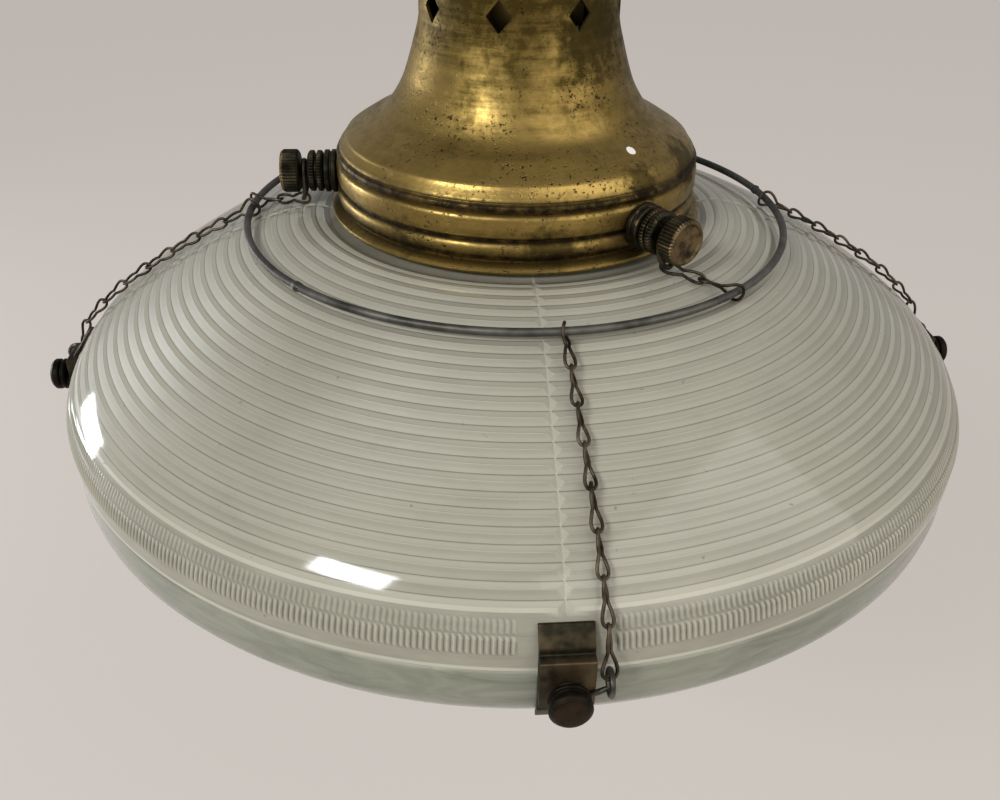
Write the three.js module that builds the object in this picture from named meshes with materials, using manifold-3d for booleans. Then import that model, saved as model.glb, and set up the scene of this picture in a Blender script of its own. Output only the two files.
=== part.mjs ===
// A glass pendant light: a vented brass holder, a ribbed pressed-glass dome and a shallow glass bowl.
// Three screws clamp the dome in the holder. Short chains hang a wire ring from the same screws,
// and four long chains run from the ring over the dome to four clips that hold the bowl.
// Millimetres, +Z up. The origin is where the hanging loop bears on its hook.
// Heights in the sizes are measured up from the seam between the two glasses.

import * as THREE from 'three';
import { mergeVertices } from 'three/addons/utils/BufferGeometryUtils.js';
import Module from 'manifold-3d';

const wasm = await Module();
wasm.setup();

// Clearances
const gap = 0.3;
const overrun = 2;
const mergeDistance = 0.0001;

// Facets
const facets = { glass: 28, holder: 24, knob: 14, small: 12, wire: 5, linkWire: 4, linkSteps: 14, ringSteps: 60, loopSteps: 20 };

// Driving sizes
const glass = {
  rimRadius: 152,
  wall: 4,
  crownHeight: 60.1,
  crownWidth: 9,
  shoulderHeight: 14.9,
  shoulderInset: 4,
  bulge: 0.6,
  sideHeight: 9,
  ribHeight: 1.2,
  neckRadius: 53,
  beadProud: 1.4,
  beadHeight: 2.6,
  bowlSide: 10,
  bowlDepth: 42,
};
const ribCount = 23;

const holder = {
  sheet: 1,
  play: 1.8,
  lift: 1.5,
  lipHeight: 2.5,
  lipProud: 3.5,
  lowerBandHeight: 7,
  upperBandHeight: 7.4,
  bandProud: 1.3,
  coveHeight: 4.2,
  coveProud: 0.9,
  bellHeight: 38,
  neckRadius: 30.6,
  neckHeight: 16,
  capHeight: 13,
};

const vent = { count: 8, width: 7.7, height: 9.2, sill: 0.7, firstAngle: -101 };

const screw = {
  count: 3,
  firstAngle: -51,
  angleStep: 117,
  rise: 0.9,
  shankRadius: 2.4,
  bossRadius: 6.9,
  bossLength: 4.2,
  collarRadius: 6.6,
  collarLength: 5,
  grooveRadius: 2,
  grooveWidth: 2.8,
  headRadius: 6.9,
  headLength: 6,
  headDish: 0.7,
  rimWidth: 1.3,
};

const eyelet = { wire: 0.8, width: 3.6, drop: 9.3, lean: 1.2, play: 0.9 };
const eyeletTaperShare = 0.08;

const ring = { reach: 17.9, wire: 1.2, float: 2.6, play: 0.15 };

const link = { wire: 0.45, eye: 1.35, endEye: 1.6, ringEye: 2.4, waistPlay: 0.2, slack: 0.45 };
const chain = { links: 8, lift: 0.7 };
const shortChainTurns = [6.5, 6, -5.5];

const clip = {
  width: 13.6,
  sheet: 1.2,
  blockHeight: 14.6,
  blockDepth: 4.2,
  blockDrop: 6.8,
  tabRise: 6,
  tuckDrop: 5,
  firstAngle: -85,
};
const clipSides = [1, 1, 1, -1];

const clipScrew = {
  height: -1,
  shankRadius: 1.9,
  neckRadius: 1.6,
  headRadius: 5.4,
  headLength: 5.6,
  headRound: 1.2,
};

const hook = { wire: 0.75, eyeRadius: 3.1, eyeReach: 9.9, eyeRise: 3.1, bearing: 30, play: 0.5 };

const fitting = {
  nippleRadius: 5,
  nippleBore: 3.4,
  nippleReach: 14,
  nutRadius: 9.5,
  nutHeight: 3.2,
  collarRadius: 13,
  collarHeight: 5,
  loopBaseRadius: 8,
  loopBaseHeight: 9,
  loopRadius: 14,
  loopWire: 2.4,
};

const socket = {
  capRadius: 17,
  capHeight: 16,
  wiringSpace: 7,
  hubRadius: 8,
  hubHeight: 6,
  bodyRadius: 18.5,
  bodyHeight: 33,
  boreRadius: 14.8,
  shellSheet: 0.5,
  roof: 6,
  contactRadius: 4.5,
  contactHeight: 2.5,
  terminalRadius: 3,
  terminalLength: 2.2,
};

const bulb = {
  capRadius: 13,
  capLength: 24,
  capSheet: 0.5,
  neckRadius: 12,
  globeRadius: 30,
  length: 108,
  wall: 1,
  tipRadius: 4.4,
  tipLength: 2.4,
  stemRadius: 5,
  stemLength: 34,
};

const colours = {
  brass: 0x8f6f2b,
  darkBrass: 0x5c4626,
  wire: 0x46423c,
  upperGlass: 0xc2bba2,
  lowerGlass: 0x9a977f,
  porcelain: 0xe6e1d4,
  bulbGlass: 0xeeeeea,
  steel: 0x8b8d8e,
};

// Worked-out places
const seamEdge = gap / 2;
const crownRadius = glass.neckRadius + glass.crownWidth;
const shoulderRadius = glass.rimRadius - glass.shoulderInset;
const sideRadius = glass.rimRadius + glass.bulge;
const lipBottom = glass.crownHeight + holder.lift;
const lipTop = lipBottom + holder.lipHeight;
const lowerBandTop = lipTop + holder.lowerBandHeight;
const upperBandTop = lowerBandTop + holder.upperBandHeight;
const bellBottom = upperBandTop + holder.coveHeight;
const neckBottom = bellBottom + holder.bellHeight;
const neckTop = neckBottom + holder.neckHeight;
const holderTop = neckTop + holder.capHeight;
const holderBore = glass.neckRadius + glass.beadProud + holder.play;
const bandRadius = holderBore + holder.sheet + holder.bandProud;
const lipRadius = holderBore + holder.lipProud + holder.sheet;
const coveRadius = holderBore + holder.sheet + holder.coveProud;
const screwHeight = lowerBandTop + screw.rise;
const bossOuter = bandRadius + screw.bossLength;
const grooveInner = bossOuter + gap + screw.collarLength;
const headInner = grooveInner + screw.grooveWidth;
const headOuter = headInner + screw.headLength;
const eyeletRadius = grooveInner + screw.grooveWidth / 2;
const eyeletBottom = screwHeight - eyelet.drop;
const loopHeight = holderTop + fitting.collarHeight + fitting.loopBaseHeight + fitting.loopRadius;
const hookHeight = loopHeight + fitting.loopRadius - fitting.loopWire;

// The dome's line, a rib's height under its outside, from the crown down to the shoulder.
const crownPullShare = [0.34, 0];
const shoulderPullShare = [0.05, 0.17];
const domeLine = new THREE.CubicBezierCurve(
  new THREE.Vector2(crownRadius, glass.crownHeight),
  new THREE.Vector2(
    crownRadius + crownPullShare[0] * (shoulderRadius - crownRadius),
    glass.crownHeight - crownPullShare[1] * (glass.crownHeight - glass.shoulderHeight),
  ),
  new THREE.Vector2(
    shoulderRadius - shoulderPullShare[0] * (shoulderRadius - crownRadius),
    glass.shoulderHeight + shoulderPullShare[1] * (glass.crownHeight - glass.shoulderHeight),
  ),
  new THREE.Vector2(shoulderRadius, glass.shoulderHeight),
);

// A point of the dome's line pushed out square to it, by a share of the line's length.
function domeAt(share, lift) {
  const point = domeLine.getPointAt(share);
  const tangent = domeLine.getTangentAt(share);
  return new THREE.Vector2(point.x - tangent.y * lift, point.y + tangent.x * lift);
}

// The height of the dome's line at a radius.
function domeHeightAt(radius) {
  const points = domeLine.getPoints(200);
  const index = points.findIndex((point) => point.x >= radius);
  const high = points[index];
  const low = points[index - 1];
  const share = (radius - low.x) / (high.x - low.x);
  return low.y + share * (high.y - low.y);
}

const ringRadius = eyeletRadius + eyelet.lean + ring.reach;
const ringHeight = domeHeightAt(ringRadius) + glass.ribHeight + ring.wire + ring.float;

function polar(radius, degrees, height) {
  const angle = THREE.MathUtils.degToRad(degrees);
  return new THREE.Vector3(radius * Math.cos(angle), radius * Math.sin(angle), height);
}

function toSolid(geometry) {
  const bare = geometry.clone();
  bare.deleteAttribute('normal');
  bare.deleteAttribute('uv');
  const merged = mergeVertices(bare, mergeDistance);
  return new wasm.Manifold(new wasm.Mesh({
    numProp: 3,
    vertProperties: merged.attributes.position.array,
    triVerts: new Uint32Array(merged.index.array),
  }));
}

function toGeometry(solid) {
  const mesh = solid.getMesh();
  const geometry = new THREE.BufferGeometry();
  geometry.setAttribute('position', new THREE.BufferAttribute(mesh.vertProperties, 3));
  geometry.setIndex(new THREE.BufferAttribute(mesh.triVerts, 1));
  geometry.computeVertexNormals();
  return geometry;
}

function join(geometries) {
  const solids = geometries.map(toSolid);
  return toGeometry(solids.reduce((whole, piece) => whole.add(piece)));
}

function cut(geometry, cutters) {
  const solids = cutters.map(toSolid);
  return toGeometry(solids.reduce((whole, piece) => whole.subtract(piece), toSolid(geometry)));
}

// A turned piece about +Z. The profile is a list of [radius, height], outside upwards.
function turned(profile, sides) {
  const points = profile.map(([radius, height]) => new THREE.Vector2(radius, height));
  return new THREE.LatheGeometry(points, sides).rotateX(Math.PI / 2);
}

// A turned ring with a bore, its profile closed on itself.
function turnedRing(profile, sides) {
  return turned([...profile, profile[0]], sides);
}

// Lays a piece that is turned about +Z along +X, so that its heights become radii.
function alongRadius(geometry) {
  return geometry.rotateY(Math.PI / 2);
}

function metal(colour, roughness) {
  return new THREE.MeshStandardMaterial({ color: colour, roughness, metalness: 0.9 });
}

function dull(colour, roughness) {
  return new THREE.MeshStandardMaterial({ color: colour, roughness, metalness: 0 });
}

const lamp = new THREE.Group();
lamp.position.z = -hookHeight;

function addPiece(name, geometry, material, parent = lamp) {
  const mesh = new THREE.Mesh(geometry, material);
  mesh.name = name;
  parent.add(mesh);
  return mesh;
}

// A group turned about the lamp's axis, for pieces that are drawn out along +X or start a facet there.
function spoke(degrees) {
  const group = new THREE.Group();
  group.rotation.z = THREE.MathUtils.degToRad(degrees);
  lamp.add(group);
  return group;
}

// Dome: smooth outside, with its ribs on the inside

const outsideShares = [1, 0.97, 0.92, 0.84, 0.74, 0.62, 0.5, 0.38, 0.26, 0.15, 0.05, 0];
const edgeShare = 0.05;

// The outside stands a rib's height over the dome's line and comes down to it at both edges.
function domeOutside() {
  return outsideShares.map((share) => {
    const lift = glass.ribHeight * Math.min(1, share / edgeShare, (1 - share) / edgeShare);
    const point = domeAt(share, lift);
    return [point.x, point.y];
  });
}

const ribCrestShare = 0.4;

function domeInside() {
  const points = [];
  for (let rib = 0; rib < ribCount; rib += 1) {
    const valley = domeAt(rib / ribCount, glass.ribHeight - glass.wall);
    const crest = domeAt((rib + ribCrestShare) / ribCount, -glass.wall);
    points.push([valley.x, valley.y], [crest.x, crest.y]);
  }
  const foot = domeAt(1, -glass.wall);
  return [...points, [foot.x, foot.y]];
}

function makeDome() {
  const beadBottom = screwHeight + screw.shankRadius + gap;
  const beadTop = beadBottom + glass.beadHeight;
  const neckInside = glass.neckRadius - glass.wall;
  const profile = [
    [glass.rimRadius, seamEdge],
    [sideRadius, glass.bulge + seamEdge],
    [sideRadius, glass.sideHeight],
    ...domeOutside(),
    [glass.neckRadius, glass.crownHeight + glass.bulge],
    [glass.neckRadius, beadBottom],
    [glass.neckRadius + glass.beadProud, beadBottom],
    [glass.neckRadius + glass.beadProud, beadTop],
    [neckInside, beadTop],
    [neckInside, glass.crownHeight - glass.wall + glass.bulge],
    ...domeInside(),
    [glass.rimRadius - glass.wall, glass.sideHeight - glass.bulge],
    [glass.rimRadius - glass.wall, seamEdge],
  ];
  return turnedRing(profile, facets.glass);
}

// Bowl

const bowlTurnsShare = [0.1, 0.24, 0.4, 0.56, 0.72, 0.87];

function bowlRadiusAt(height, inset) {
  const depth = glass.bowlDepth - glass.bowlSide - inset;
  const drop = Math.max(0, -height - glass.bowlSide);
  return (glass.rimRadius - inset) * Math.sqrt(1 - (drop / depth) ** 2);
}

function bowlLine(inset) {
  const depth = glass.bowlDepth - glass.bowlSide - inset;
  const points = bowlTurnsShare.map((share) => {
    const angle = share * Math.PI / 2;
    const radius = (glass.rimRadius - inset) * Math.cos(angle);
    return [radius, -glass.bowlSide - depth * Math.sin(angle)];
  });
  const top = glass.rimRadius - inset;
  return [[top, -seamEdge], [top, -glass.bowlSide], ...points, [0, -glass.bowlSide - depth]];
}

function makeBowl() {
  const outside = bowlLine(0).reverse();
  const inside = bowlLine(glass.wall);
  return turned([...outside, ...inside], facets.glass);
}

// Holder

const bellShare = [
  [1, 0], [0.93, 0.06], [0.89, 0.1], [0.65, 0.2], [0.42, 0.29], [0.245, 0.47], [0.145, 0.64], [0.07, 0.82], [0.03, 0.94],
];
const capShare = [[1, 0.1], [0.94, 0.45], [0.8, 0.76], [0.62, 0.94], [0.46, 1]];

function bellOutside(inset) {
  const base = holderBore + holder.sheet;
  return bellShare.map(([across, up]) => [
    holder.neckRadius + across * (base - holder.neckRadius) - inset,
    bellBottom + up * holder.bellHeight,
  ]);
}

function capOutside(inset) {
  return capShare.map(([across, up]) => [across * (holder.neckRadius - inset), neckTop + up * (holder.capHeight - inset)]);
}

const bandShoulderShare = 0.12;

function bandOutside(bottom, height, proud) {
  const base = holderBore + holder.sheet;
  const shoulder = bandShoulderShare * height;
  return [
    [base, bottom],
    [base + proud, bottom + shoulder],
    [base + proud, bottom + height - shoulder],
  ];
}

const lipTaperShare = 0.45;

function holderOutside() {
  const bore = fitting.nippleRadius + gap;
  return [
    [holderBore, lipBottom],
    [lipRadius - holder.lipProud * lipTaperShare, lipBottom],
    [lipRadius, lipBottom + holder.lipHeight * lipTaperShare],
    [lipRadius - holder.lipProud * lipTaperShare, lipTop - holder.lipHeight * bandShoulderShare],
    ...bandOutside(lipTop, holder.lowerBandHeight, holder.bandProud),
    ...bandOutside(lowerBandTop, holder.upperBandHeight, holder.bandProud),
    ...bandOutside(upperBandTop, holder.coveHeight, holder.coveProud),
    ...bellOutside(0),
    [holder.neckRadius, neckBottom],
    [holder.neckRadius, neckTop],
    ...capOutside(0),
    [bore, holderTop],
  ];
}

function holderInside() {
  const bore = fitting.nippleRadius + gap;
  return [
    [bore, holderTop - holder.sheet],
    ...capOutside(holder.sheet).reverse(),
    [holder.neckRadius - holder.sheet, neckTop],
    [holder.neckRadius - holder.sheet, neckBottom],
    ...bellOutside(holder.sheet).reverse(),
  ];
}

function ventCutter() {
  const half = vent.width / 2;
  const tall = vent.height / 2;
  const diamond = new THREE.Shape([
    new THREE.Vector2(-half, 0),
    new THREE.Vector2(0, -tall),
    new THREE.Vector2(half, 0),
    new THREE.Vector2(0, tall),
  ]);
  const depth = holder.sheet + 2 * overrun;
  const cutter = new THREE.ExtrudeGeometry(diamond, { depth, bevelEnabled: false });
  cutter.rotateX(Math.PI / 2).rotateZ(Math.PI / 2);
  return cutter.translate(holder.neckRadius - holder.sheet - overrun, 0, ventHeight);
}

const ventHeight = neckBottom + vent.sill + vent.height / 2;

function screwHole(radius, inner, outer) {
  const hole = new THREE.CylinderGeometry(radius, radius, outer - inner, facets.small);
  return hole.rotateZ(Math.PI / 2).translate((inner + outer) / 2, 0, screwHeight);
}

function makeHolder() {
  const shell = turnedRing([...holderOutside(), ...holderInside()], facets.holder);
  const cutters = [];
  for (let i = 0; i < vent.count; i += 1) {
    const turn = THREE.MathUtils.degToRad(vent.firstAngle - screw.firstAngle + i * 360 / vent.count);
    cutters.push(ventCutter().rotateZ(turn));
  }
  for (let i = 0; i < screw.count; i += 1) {
    const turn = THREE.MathUtils.degToRad(i * screw.angleStep);
    const hole = screwHole(screw.shankRadius + gap, holderBore - overrun, bandRadius + overrun);
    cutters.push(hole.rotateZ(turn));
  }
  return cut(shell, cutters);
}

// Holder screws and their bosses

function makeBoss() {
  const bore = screw.shankRadius + gap;
  const inner = bandRadius + gap;
  const edge = screw.bossRadius - holder.sheet / 2;
  return alongRadius(turnedRing([
    [bore, inner],
    [screw.bossRadius, inner],
    [screw.bossRadius, bossOuter - holder.sheet / 2],
    [edge, bossOuter],
    [bore, bossOuter],
  ], facets.knob));
}

function makeScrew() {
  const collarInner = bossOuter + gap;
  const tip = glass.neckRadius + gap;
  const face = headOuter - screw.headDish;
  const dish = screw.headRadius - screw.rimWidth;
  return alongRadius(turned([
    [0, tip],
    [screw.shankRadius, tip],
    [screw.shankRadius, collarInner],
    [screw.collarRadius, collarInner],
    [screw.collarRadius, grooveInner],
    [screw.grooveRadius, grooveInner],
    [screw.grooveRadius, headInner],
    [screw.headRadius, headInner],
    [screw.headRadius, headOuter - screw.headDish],
    [dish + screw.rimWidth / 2, headOuter],
    [dish, face],
    [0, face],
  ], facets.knob));
}

// A closed wire loop hung over a screw's groove, narrower towards its foot, which leans outwards.
class EyeletCurve extends THREE.Curve {
  getPoint(share, target = new THREE.Vector3()) {
    const angle = 2 * Math.PI * share;
    const top = screw.grooveRadius + eyelet.wire + 2 * gap;
    const half = (top + eyelet.drop) / 2;
    const up = top - half + half * Math.cos(angle);
    const across = eyelet.width * Math.sin(angle) * (1 + eyeletTaperShare * Math.cos(angle));
    const depth = Math.max(0, -up / eyelet.drop);
    const out = eyelet.lean * depth ** 4;
    return target.set(eyeletRadius + out, across, screwHeight + up);
  }
}

function closedWire(curve, steps, radius, sides) {
  return new THREE.TubeGeometry(curve, steps, radius, sides, true);
}

function makeEyelet() {
  return closedWire(new EyeletCurve(), facets.loopSteps, eyelet.wire, facets.wire + 1);
}

// Chain links

const endCrowdingShare = 0.35;

// A wire link pinched at its waist. Each eye has its own width and its own roll about the link's length.
class LinkCurve extends THREE.Curve {
  constructor(start, finish, normal, startEye, finishEye) {
    super();
    this.middle = start.clone().add(finish).multiplyScalar(0.5);
    this.length = finish.clone().sub(start);
    this.half = this.length.length() / 2;
    this.length.normalize();
    this.side = new THREE.Vector3().crossVectors(this.length, normal).normalize();
    this.normal = new THREE.Vector3().crossVectors(this.side, this.length).normalize();
    this.startEye = startEye;
    this.finishEye = finishEye;
  }

  // Steps follow the parameter, not the length, and so lie closer at the two ends.
  getUtoTmapping(share) {
    return share;
  }

  getPoint(share, target = new THREE.Vector3()) {
    const angle = 2 * Math.PI * share - endCrowdingShare * Math.sin(4 * Math.PI * share);
    const along = -Math.cos(angle);
    const waist = link.wire + link.waistPlay;
    const { size } = along < 0 ? this.startEye : this.finishEye;
    const width = Math.sin(angle) * (waist + (2 * size - waist) * Math.abs(along));
    const roll = THREE.MathUtils.mapLinear(along, -1, 1, this.startEye.roll, this.finishEye.roll);
    target.copy(this.middle).addScaledVector(this.length, along * this.half);
    target.addScaledVector(this.normal, width * Math.cos(roll));
    return target.addScaledVector(this.side, width * Math.sin(roll));
  }
}

// One link between two joints, reaching past each by its own amount.
function makeLink(from, to, normal, startEye, finishEye) {
  const direction = to.clone().sub(from).normalize();
  const start = from.clone().addScaledVector(direction, -startEye.reach);
  const finish = to.clone().addScaledVector(direction, finishEye.reach);
  const curve = new LinkCurve(start, finish, normal, startEye, finishEye);
  return closedWire(curve, facets.linkSteps, link.wire, facets.linkWire);
}

const upwards = new THREE.Vector3(0, 0, 1);
const upright = 0;
const across = Math.PI / 2;
const meshReachShare = 0.85;

// An eye of a link: its size, how far it reaches past the joint, and its roll.
function eyeRound(held, size, roll) {
  return { size, reach: held.wire + held.play + gap + link.wire, roll };
}

function looseEye(roll) {
  return { size: link.eye, reach: link.wire + (gap + link.slack) / 2, roll };
}

function meshedEye(roll) {
  return { size: link.eye, reach: link.wire * meshReachShare, roll };
}

function makeShortLinks(index) {
  const angle = screw.firstAngle + index * screw.angleStep;
  const ringAngle = angle + shortChainTurns[index];
  const from = polar(eyeletRadius + eyelet.lean, angle, eyeletBottom);
  const to = polar(ringRadius, ringAngle, ringHeight);
  const middle = from.clone().add(to).multiplyScalar(0.5);
  const near = makeLink(from, middle, upwards, eyeRound(eyelet, link.endEye, upright), looseEye(upright));
  const twist = Math.sign(shortChainTurns[index]) * across;
  const far = makeLink(middle, to, upwards, looseEye(twist), eyeRound(ring, link.ringEye, upright));
  return [near, far];
}

// Clips

const clipInner = sideRadius + gap;
const blockOuter = clipInner + clip.blockDepth;
const blockTop = clip.blockHeight - clip.blockDrop;
const blockBottom = -clip.blockDrop;
const hookRadius = blockOuter + gap + hook.wire;
const clipHeadInner = hookRadius + hook.wire + gap;
const eyeHeight = clipScrew.height + hook.eyeRise;

function clipOutline() {
  const tabTop = blockTop + clip.tabRise;
  const tabInner = domeShoulderRadiusAt(tabTop) + gap;
  const tuckBottom = -glass.bowlSide - clip.tuckDrop;
  const tuckInner = bowlRadiusAt(tuckBottom, 0) + gap;
  const shape = new THREE.Shape();
  shape.moveTo(tabInner, tabTop);
  shape.lineTo(clipInner, glass.sideHeight);
  shape.lineTo(clipInner, -glass.bowlSide);
  shape.lineTo(tuckInner, tuckBottom);
  shape.lineTo(tuckInner + clip.sheet, tuckBottom - clip.sheet);
  shape.lineTo(clipInner + clip.sheet, -glass.bowlSide - clip.sheet);
  shape.lineTo(clipInner + clip.sheet, blockBottom);
  shape.lineTo(blockOuter, blockBottom);
  shape.lineTo(blockOuter, blockTop);
  shape.lineTo(clipInner + clip.sheet, blockTop);
  shape.lineTo(clipInner + clip.sheet, glass.sideHeight + clip.sheet / 2);
  shape.lineTo(tabInner + clip.sheet, tabTop + clip.sheet / 2);
  return shape;
}

// The radius of the plain shoulder under the last rib, at a height.
function domeShoulderRadiusAt(height) {
  const share = (height - glass.sideHeight) / (glass.shoulderHeight - glass.sideHeight);
  return sideRadius + share * (shoulderRadius - sideRadius);
}

function makeClip() {
  const bracket = new THREE.ExtrudeGeometry(clipOutline(), { depth: clip.width, bevelEnabled: false });
  bracket.rotateX(Math.PI / 2).translate(0, clip.width / 2, 0);
  const hole = new THREE.CylinderGeometry(
    clipScrew.shankRadius + gap,
    clipScrew.shankRadius + gap,
    clip.blockDepth + 2 * overrun,
    facets.small,
  );
  hole.rotateZ(Math.PI / 2).translate((clipInner + blockOuter) / 2, 0, clipScrew.height);
  return cut(bracket, [hole]);
}

function makeClipScrew() {
  const tip = clipInner;
  const outer = clipHeadInner + clipScrew.headLength;
  const round = clipScrew.headRound;
  return alongRadius(turned([
    [0, tip],
    [clipScrew.shankRadius, tip],
    [clipScrew.shankRadius, blockOuter],
    [clipScrew.neckRadius, blockOuter],
    [clipScrew.neckRadius, clipHeadInner],
    [clipScrew.headRadius - round, clipHeadInner],
    [clipScrew.headRadius, clipHeadInner + round],
    [clipScrew.headRadius, outer - round],
    [clipScrew.headRadius - round, outer],
    [0, outer],
  ], facets.knob));
}

function straightWire(from, to, radius) {
  const path = new THREE.LineCurve3(from, to);
  const section = new THREE.Shape(new THREE.EllipseCurve(0, 0, radius, radius).getPoints(facets.wire + 1).slice(1));
  return new THREE.ExtrudeGeometry(section, { steps: 1, extrudePath: path, bevelEnabled: false });
}

// A wire loop round the screw's neck, an arm to one side and an upright eye for the chain.
function makeHook(side) {
  const neckLoop = clipScrew.neckRadius + gap + hook.wire;
  const loop = new THREE.TorusGeometry(neckLoop, hook.wire, facets.wire, facets.small);
  loop.rotateY(Math.PI / 2).translate(hookRadius, 0, clipScrew.height);
  const reach = side * hook.eyeReach;
  const eye = new THREE.TorusGeometry(hook.eyeRadius, hook.wire, facets.wire, facets.small);
  eye.rotateX(Math.PI / 2).translate(hookRadius, reach, eyeHeight);
  const arm = straightWire(
    new THREE.Vector3(hookRadius, side * neckLoop, clipScrew.height),
    new THREE.Vector3(hookRadius, reach, eyeHeight - hook.eyeRadius),
    hook.wire,
  );
  return join([loop, eye, arm]);
}

// Long chains

function eyeAngle(side) {
  return side * THREE.MathUtils.radToDeg(Math.atan2(hook.eyeReach, hookRadius));
}

const lineShares = [0.42, 0.55, 0.7, 0.85, 1];

// The chain's way in its own upright plane, as radius and height, from the ring to the hook's eye.
function chainWay() {
  const lift = glass.ribHeight + link.eye + link.wire + chain.lift;
  const points = lineShares.map((share) => domeAt(share, lift));
  const side = new THREE.Vector2(sideRadius + lift, glass.sideHeight);
  const start = new THREE.Vector2(ringRadius, ringHeight);
  const bearing = THREE.MathUtils.degToRad(hook.bearing);
  const finish = new THREE.Vector2(
    Math.hypot(hookRadius, hook.eyeReach) - hook.eyeRadius * Math.sin(bearing),
    eyeHeight + hook.eyeRadius * Math.cos(bearing),
  );
  return new THREE.SplineCurve([start, ...points, side, finish]);
}

function chainJoints() {
  const way = chainWay();
  const joints = [];
  for (let i = 0; i <= chain.links; i += 1) {
    const point = way.getPointAt(i / chain.links);
    joints.push(new THREE.Vector3(point.x, 0, point.y));
  }
  return joints;
}

function chainNormal(from, to) {
  const direction = to.clone().sub(from);
  const level = new THREE.Vector3().crossVectors(upwards, direction);
  return new THREE.Vector3().crossVectors(direction, level).normalize();
}

// The links from one joint to another, joined where they touch.
function makeChainRun(joints, first, last) {
  const links = [];
  for (let i = first; i < last; i += 1) {
    const from = joints[i];
    const to = joints[i + 1];
    const inner = i === first ? looseEye(upright) : meshedEye(upright);
    const outer = i === last - 1 ? looseEye(across) : meshedEye(across);
    const startEye = i === 0 ? eyeRound(ring, link.ringEye, upright) : inner;
    const finishEye = i === chain.links - 1 ? eyeRound(hook, link.endEye, across) : outer;
    links.push(makeLink(from, to, chainNormal(from, to), startEye, finishEye));
  }
  return join(links);
}

// Hanging loop, collar, nipple and nut

function tubePiece(inner, outer, bottom, top, sides) {
  return turnedRing([[inner, bottom], [outer, bottom], [outer, top], [inner, top]], sides);
}

function makeHangingLoop() {
  const eye = new THREE.TorusGeometry(fitting.loopRadius, fitting.loopWire, 2 * facets.wire - 2, facets.loopSteps);
  eye.rotateX(Math.PI / 2).translate(0, 0, loopHeight);
  const bottom = holderTop + gap + fitting.collarHeight + gap;
  const top = bottom + fitting.loopBaseHeight;
  const waist = fitting.loopBaseRadius - fitting.loopWire;
  const base = turned([
    [0, bottom],
    [fitting.loopBaseRadius, bottom],
    [fitting.loopBaseRadius, bottom + fitting.loopWire],
    [waist, top],
    [0, top],
  ], facets.knob);
  const thread = new THREE.CylinderGeometry(
    fitting.nippleRadius + gap,
    fitting.nippleRadius + gap,
    fitting.loopBaseHeight,
    facets.knob,
  );
  thread.rotateX(Math.PI / 2).translate(0, 0, bottom);
  const wayRadius = fitting.nippleBore;
  const way = new THREE.CylinderGeometry(wayRadius, wayRadius, 4 * fitting.loopBaseHeight, facets.small);
  way.rotateX(Math.PI / 2).translate(0, 0, bottom);
  return cut(join([eye, base]), [thread, way]);
}

function makeLoopCollar() {
  const bottom = holderTop + gap;
  const round = fitting.collarHeight / 4;
  const bore = fitting.nippleRadius + gap;
  return turnedRing([
    [bore, bottom],
    [fitting.collarRadius - round, bottom],
    [fitting.collarRadius, bottom + round],
    [fitting.collarRadius, bottom + fitting.collarHeight - round],
    [fitting.collarRadius - round, bottom + fitting.collarHeight],
    [bore, bottom + fitting.collarHeight],
  ], facets.knob);
}

const nippleTop = holderTop + gap + fitting.collarHeight + gap + fitting.loopBaseHeight / 2 - gap;
const nippleBottom = holderTop - fitting.nippleReach;

function makeNut() {
  const top = holderTop - holder.sheet - gap;
  const hexagon = new THREE.Shape(new THREE.EllipseCurve(0, 0, fitting.nutRadius, fitting.nutRadius).getPoints(6).slice(1));
  const bore = fitting.nippleRadius + gap;
  hexagon.holes.push(new THREE.Path(new THREE.EllipseCurve(0, 0, bore, bore).getPoints(facets.knob).slice(1)));
  const nut = new THREE.ExtrudeGeometry(hexagon, { depth: fitting.nutHeight, bevelEnabled: false });
  return nut.translate(0, 0, top - fitting.nutHeight);
}

// Lampholder

const capTop = nippleBottom + socket.hubHeight;
const capPlate = capTop - socket.hubHeight;
const bodyTop = capPlate - holder.sheet - socket.wiringSpace;
const bodyBottom = bodyTop - socket.bodyHeight;
const boreTop = bodyTop - socket.roof;
const shellOuter = socket.boreRadius - gap;
const shellInner = shellOuter - socket.shellSheet;

function makeSocketCap() {
  const bore = fitting.nippleRadius + gap;
  return turnedRing([
    [bore, capPlate - holder.sheet],
    [socket.bodyRadius + gap, capPlate - holder.sheet],
    [socket.bodyRadius + gap, capPlate - socket.capHeight],
    [socket.bodyRadius + gap + holder.sheet, capPlate - socket.capHeight],
    [socket.bodyRadius + gap + holder.sheet, capPlate - holder.sheet],
    [socket.capRadius, capPlate],
    [socket.hubRadius, capPlate],
    [socket.hubRadius, capTop],
    [bore, capTop],
  ], facets.knob);
}

function makeSocketBody() {
  const body = turned([
    [0, boreTop],
    [socket.boreRadius, boreTop],
    [socket.boreRadius, bodyBottom],
    [socket.bodyRadius, bodyBottom],
    [socket.bodyRadius, bodyTop],
    [0, bodyTop],
  ], facets.knob);
  const terminals = [1, -1].map((side) => {
    const radius = socket.terminalRadius + gap;
    const seat = new THREE.CylinderGeometry(radius, radius, socket.terminalLength + overrun, facets.small);
    const inner = socket.bodyRadius - socket.terminalLength;
    return seat.rotateZ(Math.PI / 2).translate(side * (inner + (socket.terminalLength + overrun) / 2), 0, terminalHeight);
  });
  return cut(body, terminals);
}

const terminalHeight = (capPlate - socket.capHeight + bodyBottom) / 2;

function makeTerminalScrew(side) {
  const inner = socket.bodyRadius - socket.terminalLength + gap;
  const outer = inner + socket.terminalLength;
  const head = turned([
    [0, inner],
    [socket.terminalRadius, inner],
    [socket.terminalRadius, outer],
    [0, outer],
  ], facets.small);
  return alongRadius(head).rotateZ(side > 0 ? 0 : Math.PI).translate(0, 0, terminalHeight);
}

// Bulb

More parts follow.
